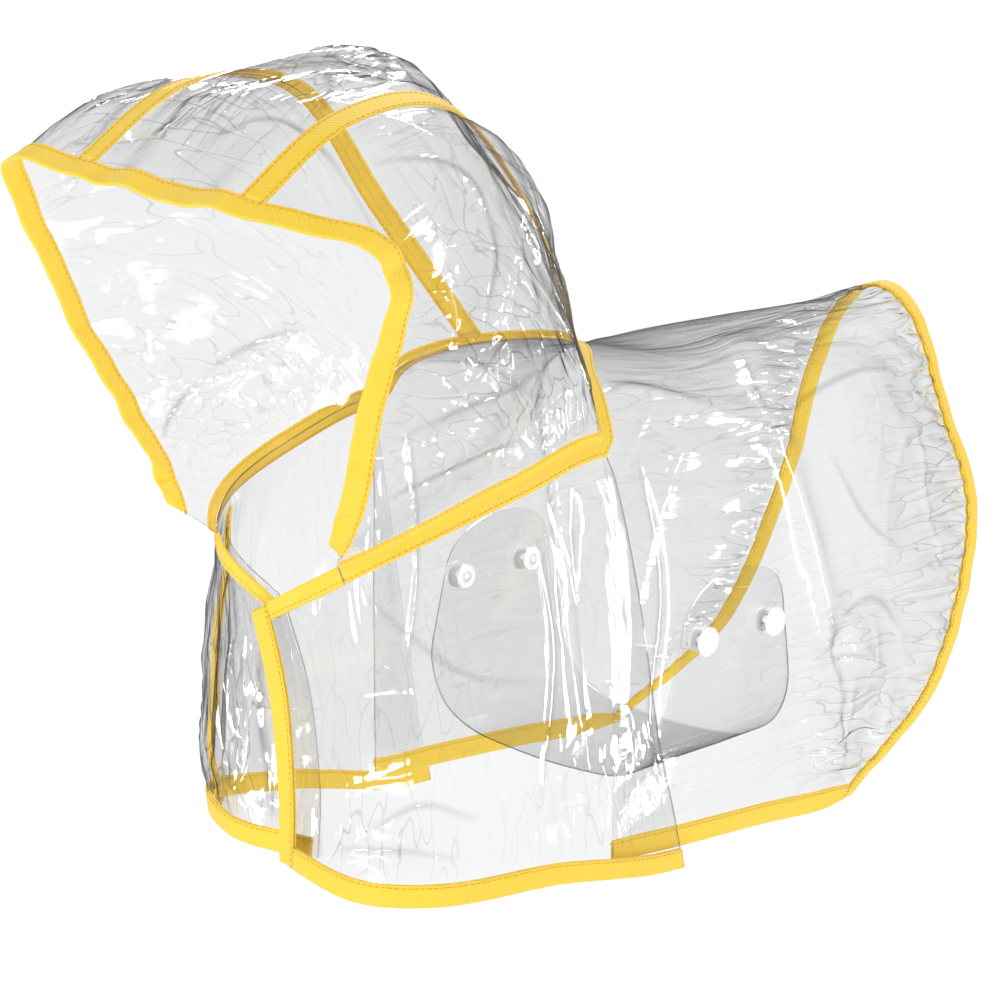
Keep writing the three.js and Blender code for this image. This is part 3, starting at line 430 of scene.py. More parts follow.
def new_object(name, points, faces, material, loops=None):
    mesh = bpy.data.meshes.new(name)
    mesh.from_pydata((np.asarray(points) * MM).tolist(), [], [tuple(int(v) for v in f) for f in faces])
    if loops is not None:
        layer = mesh.uv_layers.new(name="along")
        corner = np.zeros(len(mesh.loops), int)
        mesh.loops.foreach_get("vertex_index", corner)
        layer.data.foreach_set("uv", (np.asarray(loops)[corner] * MM).ravel().astype(np.float32))
    mesh.polygons.foreach_set("use_smooth", np.ones(len(mesh.polygons), bool))
    mesh.materials.append(material)
    mesh.update()
    obj = bpy.data.objects.new(name, mesh)
    bpy.context.scene.collection.objects.link(obj)
    return obj


def grid_faces(rows, columns, start=0, flip=False):
    i, j = np.meshgrid(np.arange(rows - 1), np.arange(columns - 1), indexing="ij")
    a = (start + i * columns + j).ravel()
    f = np.stack([a, a + 1, a + columns + 1, a + columns], axis=1)
    return f[:, ::-1] if flip else f


def grid_normals(p):
    return unit(np.cross(np.gradient(p, axis=1), np.gradient(p, axis=0)))


def film_sheet(name, p, outward, marks=None):
    """A thin closed film about a grid of points. outward is a vector field that says which side is out."""
    n = grid_normals(p)
    flip = (n * outward).sum() < 0
    n = -n if flip else n
    rows, columns = p.shape[:2]
    top = p + n * FILM_HALF
    under = p - n * FILM_HALF
    points = np.concatenate([top.reshape(-1, 3), under.reshape(-1, 3)])
    count = rows * columns
    faces = [grid_faces(rows, columns, 0, flip), grid_faces(rows, columns, count, not flip)]
    index = np.arange(count).reshape(rows, columns)
    rim = np.concatenate([index[0, :], index[1:, -1], index[-1, -2::-1], index[-2:0:-1, 0]])
    after = np.roll(rim, -1)
    walls = np.stack([rim, rim + count, after + count, after], axis=1)
    faces.append(walls[:, ::-1] if flip else walls)
    steps = [np.linalg.norm(np.diff(p, axis=axis), axis=-1).max(axis=1 - axis) for axis in (1, 0)]
    places = [np.concatenate([[0], np.cumsum(step)]) for step in steps]
    uv = np.stack(np.meshgrid(*places), axis=-1).reshape(-1, 2)
    obj = new_object(name, points, np.concatenate(faces), FILM, np.concatenate([uv, uv]))
    obj.data.materials.append(FILM_INSIDE)
    inside = np.zeros(len(obj.data.polygons), np.int32)
    inside[len(faces[0]) : 2 * len(faces[0])] = 1
    obj.data.polygons.foreach_set("material_index", inside)
    obj.visible_shadow = False
    marks = np.zeros((2, count)) if marks is None else np.reshape(marks, (2, count))
    # The creased and bent marks also drive the painted shade in the film's see-through colour, besides its
    # crumple bump
    for title, values in zip(("creased", "bent"), marks):
        layer = obj.data.attributes.new(title, "FLOAT", "POINT")
        layer.data.foreach_set("value", np.concatenate([values, values]).astype(np.float32))
    return obj


def solid_strip(name, rings, spans, around_length):
    """A closed strip of tape through rings of points, its ends filled. spans gives the length along it."""
    count, n = rings.shape[:2]
    index = np.arange(count * n).reshape(count, n)
    nxt = np.roll(index, -1, axis=1)
    faces = np.stack([index[:-1], index[1:], nxt[1:], nxt[:-1]], axis=-1).reshape(-1, 4)
    flat = rings.reshape(-1, 3)
    a, b, c, d = (flat[faces[:, k]] for k in range(4))
    volume = (np.cross(b - a, c - a) * a).sum() + (np.cross(c - a, d - a) * a).sum()
    ends = [list(index[0]), list(index[-1][::-1])]
    faces = [list(f) for f in faces] + ends
    if volume < 0:
        faces = [f[::-1] for f in faces]
    u = np.broadcast_to(spans[:, None], (count, n))
    v = np.broadcast_to(around_length[None, :], (count, n))
    return new_object(name, flat, faces, TAPE, np.stack([u, v], axis=-1).reshape(-1, 2))


def lengths_of(p):
    return np.concatenate([[0], np.cumsum(np.linalg.norm(np.diff(p, axis=0), axis=-1))])


def groove(distance, rows):
    return sum(GROOVE_DEPTH * np.exp(-(((distance - row) / GROOVE_WIDTH) ** 2)) for row in rows)


def strip_normals(p, outward):
    n = grid_normals(p)
    sign = np.sign((n * outward).sum(axis=-1, keepdims=True))
    return n * np.where(sign == 0, 1, sign)


def binding(edge_node, p, outward, rows=(BAND - STITCH_IN,)):
    """The tape folded over an edge, in place of its node. p runs along the edge and then in from it."""
    n = strip_normals(p, outward)
    inwards = lengths_of(p[len(p) // 2])
    away = unit(p[:, 0] - p[:, 1])
    tip = -unit(p[:, -2] - p[:, -1])
    far = TAPE_FAR - groove(inwards, rows)[None, :, None]
    angles = np.radians([70, 35, 0, -35, -70])
    edge = p[:, 0]
    edge_n = n[:, 0]
    nose = [edge + away * (NOSE_OFF + TAPE_FAR * np.cos(a)) + edge_n * TAPE_FAR * np.sin(a) for a in angles]
    few = angles[::-2]
    cleft = [edge + away * (CLEFT_OFF + TAPE_NEAR * np.cos(a)) + edge_n * TAPE_NEAR * np.sin(a) for a in few]
    middle = (TAPE_NEAR + TAPE_FAR) / 2
    rings = [p[:, j] + n[:, j] * far[:, j] for j in range(p.shape[1] - 1, -1, -1)]
    rings += nose
    rings += [p[:, j] - n[:, j] * far[:, j] for j in range(p.shape[1])]
    rings += [p[:, -1] - n[:, -1] * middle + tip * TAPE_BULGE]
    rings += [p[:, j] - n[:, j] * TAPE_NEAR for j in (-1, p.shape[1] // 2, 0)]
    rings += cleft
    rings += [p[:, j] + n[:, j] * TAPE_NEAR for j in (0, p.shape[1] // 2, -1)]
    rings += [p[:, -1] + n[:, -1] * middle + tip * TAPE_BULGE]
    rings = np.stack(rings, axis=1)
    spans = lengths_of(p[:, 0])
    obj = solid_strip(f"{edge_node}_tape", rings, spans, lengths_of(rings[len(p) // 2]))
    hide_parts(edge_node)
    for row in rows:
        j = int(np.argmin(np.abs(inwards - row)))
        for sign in (1, -1):
            stitch_lines.append(p[:, j] + sign * n[:, j] * (TAPE_FAR - STITCH_SINK))


def seam_tape(seam_node, p, outward):
    """The flat tape on the outside of a seam, in place of its node. p runs along the seam, then across it."""
    n = strip_normals(p, outward)
    over = lengths_of(p[len(p) // 2])
    total = over[-1]
    rows = (STITCH_IN, total - STITCH_IN)
    far = TAPE_FAR - groove(over, rows)[None, :, None]
    middle = (TAPE_NEAR + TAPE_FAR) / 2
    side_a = unit(p[:, 0] - p[:, 1])
    side_b = unit(p[:, -1] - p[:, -2])
    rings = [p[:, j] + n[:, j] * far[:, j] for j in range(p.shape[1])]
    rings += [p[:, -1] + n[:, -1] * middle + side_b * TAPE_BULGE]
    rings += [p[:, j] + n[:, j] * TAPE_NEAR for j in range(p.shape[1] - 1, -1, -1)]
    rings += [p[:, 0] + n[:, 0] * middle + side_a * TAPE_BULGE]
    rings = np.stack(rings, axis=1)
    spans = lengths_of(p[:, p.shape[1] // 2])
    obj = solid_strip(f"{seam_node}_strip", rings, spans, lengths_of(rings[len(p) // 2]))
    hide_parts(seam_node)
    for row in rows:
        j = int(np.argmin(np.abs(over - row)))
        stitch_lines.append(p[:, j] + n[:, j] * (TAPE_FAR - STITCH_SINK))
        stitch_lines.append(p[:, j] - n[:, j] * (FILM_HALF + STITCH_SINK))


# Materials
CELL_SCALE = (75, 14.5, 1)  # crumple cells to the metre, along and across
CELL_SWAY = (1.6, 1.6, 0)
RIDGE_HEIGHT = 0.0035
LINE_WIDTH = 0.035  # of a painted shade line along the crumple cells' edges, as a share of a cell
CLEAR_TINT = (0.976, 0.978, 0.98, 1)
# Grey painted into the film's see-through colour as shade along its crumple lines, creases and sharp bends
CREASE_SHADE_TINT = (0.56, 0.56, 0.57, 1)
GLOSS_TINT = (0.95, 0.96, 0.97, 1)


def new_material(name):
    mat = bpy.data.materials.new(name)
    mat.use_nodes = True
    tree = mat.node_tree
    tree.nodes.clear()
    out = tree.nodes.new("ShaderNodeOutputMaterial")
    return mat, tree, out


def node(tree, kind, given=None, **settings):
    """A new node. Of its inputs, by name or place, a number is set and a socket is linked."""
    made = tree.nodes.new(kind)
    for key, value in settings.items():
        setattr(made, key, value)
    for key, value in (given or {}).items():
        if isinstance(value, bpy.types.NodeSocket):
            tree.links.new(value, made.inputs[key])
        else:
            made.inputs[key].default_value = value
    return made.outputs


def clear_film():
    """Film to look through, glossy at a slant, with painted shade: fine grey lines along its crumples and a
    grey veil where it is creased or sharply bent.
    """
    mat, tree, out = new_material("clear film")
    creased = node(tree, "ShaderNodeAttribute", attribute_name="creased")["Fac"]
    bent = node(tree, "ShaderNodeAttribute", attribute_name="bent")["Fac"]
    along = node(tree, "ShaderNodeUVMap", uv_map="along")[0]
    cells = node(tree, "ShaderNodeMapping", {"Vector": along, "Scale": CELL_SCALE})[0]
    sway = {"Vector": cells, "Scale": 0.9, "Detail": 1.0}
    sway = node(tree, "ShaderNodeTexNoise", sway, noise_dimensions="2D")["Color"]
    swayed = {0: sway, 1: CELL_SWAY, 2: cells}
    swayed = node(tree, "ShaderNodeVectorMath", swayed, operation="MULTIPLY_ADD")[0]
    ridge = node(
        tree,
        "ShaderNodeTexVoronoi",
        {"Vector": swayed, "Scale": 1.0},
        voronoi_dimensions="2D",
        feature="DISTANCE_TO_EDGE",
    )["Distance"]
    tall = node(tree, "ShaderNodeMath", {0: ridge, 1: creased}, operation="MULTIPLY")[0]
    bump = node(tree, "ShaderNodeBump", {"Strength": 1.0, "Distance": RIDGE_HEIGHT, "Height": tall})[0]
    # Painted shade: the see-through colour greys in thin lines along the crumple cells' edges, and as a veil
    # where the film is creased or sharply bent
    line = {"Value": ridge, "From Min": 0.0, "From Max": LINE_WIDTH, "To Min": 1.0, "To Max": 0.0}
    line = node(tree, "ShaderNodeMapRange", line)[0]
    painted_veil = node(tree, "ShaderNodeMath", {0: creased, 1: 0.16, 2: bent}, operation="MULTIPLY_ADD")[0]
    painted_shade = {0: line, 1: creased, 2: painted_veil}
    painted_shade = node(tree, "ShaderNodeMath", painted_shade, operation="MULTIPLY_ADD", use_clamp=True)[0]
    tint = node(tree, "ShaderNodeMix", {0: painted_shade, 6: CLEAR_TINT, 7: CREASE_SHADE_TINT}, data_type="RGBA")[2]
    through = node(tree, "ShaderNodeBsdfTransparent", {0: tint})[0]
    gloss = {"Color": GLOSS_TINT, "Roughness": 0.05, "Normal": bump}
    gloss = node(tree, "ShaderNodeBsdfGlossy", gloss)[0]
    facing = node(tree, "ShaderNodeLayerWeight", {"Blend": 0.5, "Normal": bump})["Facing"]
    steep = node(tree, "ShaderNodeMath", {0: facing, 1: 3.4}, operation="POWER")[0]
    share = node(tree, "ShaderNodeMath", {0: steep, 1: 0.92, 2: 0.08}, operation="MULTIPLY_ADD")[0]
    mix = node(tree, "ShaderNodeMixShader", {0: share, 1: through, 2: gloss})[0]
    tree.links.new(mix, out.inputs[0])
    return mat


def film_inside():
    """The film's inner face, nearly clear, so that each layer is shaded once."""
    mat, tree, out = new_material("clear film inside")
    through = node(tree, "ShaderNodeBsdfTransparent", {"Color": (0.99, 0.99, 0.99, 1)})[0]
    gloss = node(tree, "ShaderNodeBsdfGlossy", {"Color": GLOSS_TINT, "Roughness": 0.1})[0]
    mix = node(tree, "ShaderNodeMixShader", {0: 0.015, 1: through, 2: gloss})[0]
    tree.links.new(mix, out.inputs[0])
    return mat


def tape_material(name, colour, pale):
    """Woven tape: slanting ribs and a fine grain between two yellows."""
    mat, tree, out = new_material(name)
    along = node(tree, "ShaderNodeUVMap", uv_map="along")[0]
    ribs = {"Vector": along, "Scale": 260, "Distortion": 0.6}
    ribs = node(tree, "ShaderNodeTexWave", ribs, wave_type="BANDS", bands_direction="DIAGONAL")["Fac"]
    grain = node(tree, "ShaderNodeTexNoise", {"Vector": along, "Scale": 900.0, "Detail": 2.0})["Fac"]
    blend = node(tree, "ShaderNodeMix", {0: grain, 6: (*colour, 1), 7: (*pale, 1)}, data_type="RGBA")[2]
    height = node(tree, "ShaderNodeMath", {0: ribs, 1: grain}, operation="ADD")[0]
    bump = node(tree, "ShaderNodeBump", {"Strength": 0.5, "Distance": 0.0002, "Height": height})[0]
    woven = {
        "Roughness": 0.62,
        "Specular IOR Level": 0.35,
        "Sheen Weight": 0.25,
        "Sheen Roughness": 0.5,
        "Base Color": blend,
        "Normal": bump,
    }
    shade = node(tree, "ShaderNodeBsdfPrincipled", woven)[0]
    tree.links.new(shade, out.inputs[0])
    return mat


def plain_material(name, colour, roughness, glow=0.0):
    mat, tree, out = new_material(name)
    plain = {
        "Roughness": roughness,
        "Base Color": (*colour, 1),
        "Emission Color": (1, 1, 1, 1),
        "Emission Strength": glow,
    }
    shade = node(tree, "ShaderNodeBsdfPrincipled", plain)[0]
    tree.links.new(shade, out.inputs[0])
    return mat


FILM = clear_film()
FILM_INSIDE = film_inside()
TAPE = tape_material("yellow binding", (0.72, 0.47, 0.026), (0.82, 0.57, 0.045))
THREAD = plain_material("yellow thread", (0.60, 0.27, 0.012), 0.55)
SNAP = plain_material("white snap", (0.86, 0.87, 0.87), 0.25)


# Front panels
OVERLAP = 0.9  # how much further round the lapped hem goes, in sections
LAP = 2.2  # how far a front panel lies off the back panel
LAP_HEM = 4.4  # and at the hem
HEM_DROP = 0.16
FRONT_END = BACK_START - 0.01
FRONT_COLUMNS = 110
FRONT_ROWS = 100
TURNED_UNDER = 1.65  # how far the right front's edge is turned under, in sections
FOLD_RADIUS = 2.4
FOLD_ANGLES = np.radians([165, 140, 115, 90, 65, 40, 15])
ACROSS_BAND = np.linspace(0, 1, 8)[None, :]
PROBE = 0.05  # steps along a net that its rate in millimetres is taken over
WIDE_PROBE = 0.1


def front_hem(c):
    return -HEM_DROP * smooth(2.9, 4.6, c)


def front_place(a, v):
    """Section and row of a front panel's place: a across it, v from the hem to the neck seam."""
    over = OVERLAP * (1 - v) * smooth(0, 0.9, a)
    c = a * (1 + over / FRONT_END)
    r = front_hem(c) + (NECK_ROW - front_hem(c)) * v
    return c, r


def front_base(side, a, v):
    c, r = front_place(a, v)
    p = body(side, c, r)
    n = body_normal(side, c, r)
    lap = smooth(3.3, 3.95, c) * smooth(2.95, 2.7, r) * (LAP + (LAP_HEM - LAP) * (1 - smooth(0.25, 1.0, r)))
    h = folds(p, BODY_FOLDS) * smooth(0, 0.4, r) * smooth(0, 0.6, NECK_ROW - r)
    return p + n * (lap + h)[..., None], n


def step_in(edge, near, apart, reach):
    """Parameter step for a reach in millimetres, from an edge and places near it that are apart by a step."""
    return reach * apart / np.linalg.norm(near - edge, axis=-1)


def edge_distances(p):
    """Distance of every grid point from the four borders: first row, last row, first column, last column."""
    up = np.linalg.norm(np.diff(p, axis=0), axis=-1)
    side = np.linalg.norm(np.diff(p, axis=1), axis=-1)
    from_first = np.vstack([np.zeros(p.shape[1]), np.cumsum(up, axis=0)])
    from_left = np.hstack([np.zeros((p.shape[0], 1)), np.cumsum(side, axis=1)])
    return from_first, from_first[-1] - from_first, from_left, from_left[:, -1:] - from_left


def crumpled(p, outward, table, fades, lines_on):
    n = strip_normals(p, outward)
    fade = np.ones(p.shape[:2])
    for distance, width in zip(edge_distances(p), fades):
        fade = fade * smooth(width * 0.55, width * 1.6 + 6, distance)
    height, creased, bent = crumples(p, table, lines_on)
    return p + n * (height * fade)[..., None], np.stack([creased * fade, bent * fade])


def body_lines(side, back):
    """The creases that lie on one panel, as lines of points."""
    out = []
    for height, width, places in BODY_CREASES[side]:
        c, r = track(places).T
        if (c.mean() > BACK_START) == back:
            out.append((height, width, body(side, c, r)))
    return out


def front_panel(side):
    a, v = np.meshgrid(np.linspace(0, FRONT_END, FRONT_COLUMNS), np.linspace(0, 1, FRONT_ROWS))
    p, n = front_base(side, a, v)
    p, marks = crumpled(p, n, BODY_CRUMPLES, (BAND, NECK_BELOW, BAND, 1), body_lines(side, False))
    if side == "right":
        first = p[:, 0]
        forward = unit(first - p[:, 2])
        up = n[:, 0]
        bend_n = [up * np.cos(t) + forward * np.sin(t) for t in FOLD_ANGLES]
        bend = [first - up * FOLD_RADIUS + turn * FOLD_RADIUS for turn in bend_n]
        last = int(TURNED_UNDER / FRONT_END * (FRONT_COLUMNS - 1))
        under = [p[:, k] - n[:, k] * 2 * FOLD_RADIUS for k in range(last, -1, -1)]
        under_n = [-n[:, k] for k in range(last, -1, -1)]
        p = np.concatenate([np.stack(under + bend, axis=1), p], axis=1)
        n = np.concatenate([np.stack(under_n + bend_n, axis=1), n], axis=1)
        marks = np.pad(marks, ((0, 0), (0, 0), (p.shape[1] - marks.shape[2], 0)))
    obj = film_sheet(f"front_film_{side}", p, n, marks)
    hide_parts(f"front_{side}")
    return p, n


EDGE_PROBE = 0.24  # how far across a front its rate is taken at the edge, in sections
fronts = {}
for side in ("left", "right"):
    fronts[side] = front_panel(side)


def front_edge_binding(side):
    v = np.linspace(0, 1, 90)
    if side == "left":
        low = front_base(side, np.full_like(v, EDGE_PROBE), v)[0]
        edge = front_base(side, np.zeros_like(v), v)[0]
        a = step_in(edge, low, EDGE_PROBE, BAND)[:, None] * ACROSS_BAND
        p, n = front_base(side, a, np.broadcast_to(v[:, None], a.shape))
    else:
        grid, normals = fronts[side]
        middle = grid[FRONT_ROWS // 2]
        width = int(round(BAND / np.linalg.norm(middle[1] - middle[0]))) + 1
        p, n = grid[:, :width], normals[:, :width]
    binding(f"front_edge_binding_{side}", p, n)


def band_place(v):
    """How far across the left front its edge binding reaches, at a height on the panel."""
    near = front_base("left", EDGE_PROBE, v)[0]
    edge = front_base("left", 0, v)[0]
    return (BAND + 0.4) / np.linalg.norm(near - edge) * EDGE_PROBE


def front_hem_binding(side):
    a = np.linspace(band_place(0.0) if side == "left" else 0.0, FRONT_END, 120)
    low = front_base(side, a, np.zeros_like(a))[0]
    high = front_base(side, a, np.full_like(a, PROBE))[0]
    v = step_in(low, high, PROBE, BAND)[:, None] * ACROSS_BAND
    p, n = front_base(side, np.broadcast_to(a[:, None], v.shape), v)
    binding(f"front_hem_binding_{side}", p, n)


def neck_edge_binding(side):
    a = np.linspace(band_place(1.0) if side == "left" else 0.0, HOOD_START - 0.02, 50)
    low = front_base(side, a, np.full_like(a, 1 - PROBE))[0]
    high = front_base(side, a, np.ones_like(a))[0]
    v = 1 - step_in(low, high, PROBE, NECK_BAND)[:, None] * ACROSS_BAND
    p, n = front_base(side, np.broadcast_to(a[:, None], v.shape), v)
    binding(f"neck_edge_binding_{side}", p, n, rows=(NECK_BELOW - 1.4,))


for side in ("left", "right"):
    front_edge_binding(side)
    front_hem_binding(side)
    neck_edge_binding(side)


# Back panel
PUCKER_PITCH = 10.5
PUCKER_HEIGHT = 2.1
LONG_PITCH = 27  # longer waves that run further in
LONG_HEIGHT = 1.9
RUFFLE = 0.35  # of the rear binding itself
HEM_SHORT = 0.3  # sections from the rear edge that the hem bindings stop at
BOTH_SIDES = 2 * TOP_ROW  # rows from one hem over the spine to the other


def rear_lengths(q):
    grid = np.linspace(0, BOTH_SIDES, 801)
    p = around(body, 7.8, grid)
    return np.interp(q, grid, lengths_of(p))


def puckers(q, distance):
    """How far the elastic lifts the film at a place along the rear edge and a distance in from it."""
    along = rear_lengths(q)
    total = rear_lengths(BOTH_SIDES)
    phase = 2 * np.pi * along / PUCKER_PITCH + 1.7 * np.sin(along / 31) + 1.1 * np.sin(along / 13.7 + 1)
    size = 0.95 + 0.5 * np.sin(along / 19 + 0.6) * np.sin(along / 43)
    wave = np.sin(phase)
    fine = np.sign(wave) * np.abs(wave) ** 0.8
    fine = fine * smooth(7, 18, distance) * np.exp(-np.maximum(distance - 17, 0) / 18)
    phase_long = 2 * np.pi * along / LONG_PITCH + 1.5 * np.sin(along / 41 + 2)
    long = np.sin(phase_long) * smooth(14, 32, distance) * np.exp(-np.maximum(distance - 34, 0) / 26)
    ends = smooth(6, 40, along) * smooth(6, 40, total - along)
    return (PUCKER_HEIGHT * size * fine + LONG_HEIGHT * long) * ends


def back_base(c, q, drawn=True):
    p = around(body, c, q)
    n = around(body_normal, c, q)
    r = np.minimum(q, BOTH_SIDES - q)
    flat = smooth(4, 4.4, c) * smooth(0, 0.5, r) * smooth(REAR, 7.6, c)
    h = folds(p, BODY_FOLDS) * flat
    if drawn:
        rate = np.linalg.norm(around(body, 7.98, q) - around(body, 7.9, q), axis=-1) / 0.08
        h = h + puckers(q, (REAR - c) * rate)
        along = rear_lengths(q)
        wave = np.sin(along / 4.7 + 1.2 * np.sin(along / 23)) * np.sin(along / 37 + 1)
        h = h + RUFFLE * wave * smooth(7.4, REAR, c)
    return p + n * h[..., None], n


def back_panel():
    q = np.concatenate([np.linspace(0, 4, 150)[:-1], np.linspace(4, 6, 50)[:-1], np.linspace(6, 10, 150)])
    c = np.concatenate([np.linspace(4, 6.6, 75)[:-1], np.linspace(6.6, 8, 65)])
    qq, cc = np.meshgrid(q, c)
    p, n = back_base(cc, qq)
    lines_on = body_lines("left", True) + body_lines("right", True)
    p, marks = crumpled(p, n, BODY_CRUMPLES, (NECK_BELOW * 0.6, BAND, BAND, BAND), lines_on)
    from_rear = edge_distances(p)[1]
    drawn_up = smooth(8, 18, from_rear) * np.exp(-np.maximum(from_rear - 20, 0) / 22)
    # The drawn-up band by the rear edge is marked creased, which gives it crumple bump and painted grey shade
    marks[0] = np.maximum(marks[0], 0.9 * drawn_up * smooth(0.2, 1.2, np.minimum(qq, BOTH_SIDES - qq)))
    obj = film_sheet("back_film", p, n, marks)
    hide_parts("back_panel_left", "back_panel_right")


def back_hem_binding(side):
    c = np.linspace(BACK_START, REAR - HEM_SHORT, 90)
    sign = 1 if side == "left" else -1
    q0 = 0.0 if side == "left" else BOTH_SIDES
    low = back_base(c, np.full_like(c, q0))[0]
    high = back_base(c, np.full_like(c, q0 + sign * WIDE_PROBE))[0]
    q = q0 + sign * step_in(low, high, WIDE_PROBE, BAND)[:, None] * ACROSS_BAND
    p, n = back_base(np.broadcast_to(c[:, None], q.shape), q)
    binding(f"back_hem_binding_{side}", p, n)


def rear_binding():
    rows = np.linspace(0, BOTH_SIDES, 800)
    q = np.interp(np.linspace(0, rear_lengths(BOTH_SIDES), 400), rear_lengths(rows), rows)
    low = back_base(np.full_like(q, REAR - PROBE), q, False)[0]
    high = back_base(np.full_like(q, float(REAR)), q, False)[0]
    c = REAR - step_in(low, high, PROBE, BAND)[:, None] * ACROSS_BAND
    p, n = back_base(c, np.broadcast_to(q[:, None], c.shape))
    binding("rear_binding", p, n)


back_panel()
rear_binding()
for side in ("left", "right"):
    back_hem_binding(side)


# Hood
def hood_base(t, s):
    p = hood(t, s)
    n = hood_normal(t, s)
    inside = smooth(0.3, 0.9, s) * smooth(HOOD_END - 0.1, HOOD_END - 0.8, s)
    flutter = 1.5 * np.sin(t * 7.3 + 0.6 * np.sin(t * 3.1)) + 0.7 * np.sin(t * 15.1 + 1)
    at_face = smooth(1.3, 0, s) * smooth(HOOD_START, 1.6, t) * smooth(HOOD_STOP, 10.4, t)
    h = folds(p, HOOD_FOLDS) * inside + flutter * at_face
    return p + n * h[..., None], n


def hood_panel(name, start, end, columns, seams):
    t, s = np.meshgrid(np.linspace(start, end, columns), np.linspace(0, HOOD_END, 120))
    p, n = hood_base(t, s)
    lines_on = [(height, width, hood(*track(places).T)) for height, width, places in HOOD_CREASES]
    p, marks = crumpled(p, n, HOOD_CRUMPLES, (BAND, NECK_ABOVE, *seams), lines_on)
    obj = film_sheet(f"{name}_film", p, n, marks)
    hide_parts(name)


hood_panel("hood_left", HOOD_START, SEAM_LEFT, 140, (1, SEAM_HALF))
hood_panel("hood_crown", SEAM_LEFT, SEAM_RIGHT, 70, (SEAM_HALF, SEAM_HALF))
hood_panel("hood_right", SEAM_RIGHT, HOOD_STOP, 140, (SEAM_HALF, 1))


def evenly(line, count):
    """Places along the hood, from one front edge to the other, that lie evenly on a line over it."""
    fine = np.linspace(HOOD_START, HOOD_STOP, 900)
    along = lengths_of(line(fine))
    return np.interp(np.linspace(0, along[-1], count), along, fine)


def face_binding():
    t = evenly(lambda x: hood(x, np.zeros_like(x)), 420)
    low = hood(t, np.zeros_like(t))
    high = hood(t, np.full_like(t, WIDE_PROBE))
    s = step_in(low, high, WIDE_PROBE, BAND)[:, None] * ACROSS_BAND
    p, n = hood_base(np.broadcast_to(t[:, None], s.shape), s)
    binding("hood_face_binding", p, n)


def hood_seam_tape(side, t0):
    face = step_in(hood(t0, 0.0), hood(t0, WIDE_PROBE), WIDE_PROBE, BAND)
    neck = step_in(hood(t0, HOOD_END), hood(t0, HOOD_END - WIDE_PROBE), WIDE_PROBE, NECK_ABOVE)
    s = face + (HOOD_END - neck - face) * np.linspace(0, 1, 130)
    rate = np.linalg.norm(hood(t0 + 0.03, s) - hood(t0 - 0.03, s), axis=-1) / 0.06
    t = t0 + (SEAM_HALF / rate)[:, None] * np.linspace(-1, 1, 9)[None, :]
    p, n = hood_base(t, np.broadcast_to(s[:, None], t.shape))
    seam_tape(f"hood_seam_tape_{side}", p, n)


def neck_tape():
    t = evenly(neckline, 330)
    s_rate = np.linalg.norm(hood(t, np.full_like(t, 4.0)) - hood(t, np.full_like(t, 3.9)), axis=-1) / 0.1
    columns = []
    for k in np.linspace(NECK_ABOVE, 0, 5)[:-1]:
        columns.append(hood_base(t, HOOD_END - k / s_rate))
    seam = neckline(t)
    n_seam = hood_base(t, np.full_like(t, 3.98))[1]
    columns.append((seam, n_seam))
    for k in np.linspace(0, NECK_BELOW, 6)[1:]:
        columns.append(below_neck(t, k))
    p = np.stack([v[0] for v in columns], axis=1)
    n = np.stack([v[1] for v in columns], axis=1)
    seam_tape("neck_seam_tape", p, n)


def below_neck(t, distance):
    """A point on the body a distance below the neck seam."""
    a = np.where(t <= CENTRE, t, 2 * CENTRE - t)
    p, n = np.zeros(t.shape + (3,)), np.zeros(t.shape + (3,))
    for side in ("left", "right"):
        on = (a < FRONT_END) & ((t <= CENTRE) == (side == "left"))
        if on.any():
            low = front_base(side, a[on], np.full(on.sum(), 0.97))[0]
            high = front_base(side, a[on], np.ones(on.sum()))[0]
            v = 1 - step_in(low, high, 0.03, distance)
            p[on], n[on] = front_base(side, a[on], v)
    on = a >= FRONT_END
    q = t[on] - 1
    low = back_base(np.full(on.sum(), float(BACK_START)), q)[0]
    high = back_base(np.full(on.sum(), BACK_START + PROBE), q)[0]
    c = BACK_START + step_in(low, high, PROBE, distance)
    p[on], n[on] = back_base(c, q)
    return p, n


face_binding()
hood_seam_tape("left", SEAM_LEFT)
hood_seam_tape("right", SEAM_RIGHT)
neck_tape()


# Belly strap and snaps
# The left half of the strap from its end down to the middle: x, z, y and half its width, in millimetres
STRAP_PATH = [
    (83.6, -111, 41, 9),
    (83.8, -113.5, 40.5, 19),
    (84.0, -120, 39, 31),
    (84.2, -130, 37, 38),
    (84.4, -144, 36, 41),
    (84.2, -162, 35, 45),
    (83.0, -180, 34, 49),
    (78.0, -196, 34, 50),
    (68.0, -208, 34, 50),
    (50.0, -216, 34, 49),
    (26.0, -219, 34, 48),
    (0, -220, 34, 48),
]


def belly_strap():
    half = np.array(STRAP_PATH, float)
    whole = np.concatenate([half, half[-2::-1] * (-1, 1, 1, 1)])
    net = padded_net(np.stack([whole, whole, whole], axis=1))
    u = np.linspace(0, len(whole) - 1, 240)
    spine = surface_rows(net, u)
    k = np.linspace(-1, 1, 46)
    x, z, y, half_width = (spine[:, None, i] for i in range(4))
    p = np.stack(np.broadcast_arrays(x, y + half_width * k, z), axis=-1)
    out = p * (1, 0, 1) - np.array([0, 0, -120])
    n = strip_normals(p, out)
    free = smooth(4, 16, np.minimum(u, u[-1] - u))[:, None]
    p = p + n * (0.5 * crumple(p, 26, 51, (1, 0, 0), 2.0) * free)[..., None]
    obj = film_sheet("belly_strap_film", p, out)
    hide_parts("belly_strap")


def surface_rows(net, u):
    i, w = weights(u, net.shape[0] - 2)
    return sum(w[:, a, None] * net[i + a, 1] for a in range(4))


SNAP_RADIUS = 7.5
STEM_RADIUS = 2.0
BORE_RADIUS = 2.3
CAP_HEIGHT = 2.1
CORNER = 0.45
SNAP_FACETS = 48
SNAP_PLACES = {"front": (11, -142), "rear": (62, -142)}


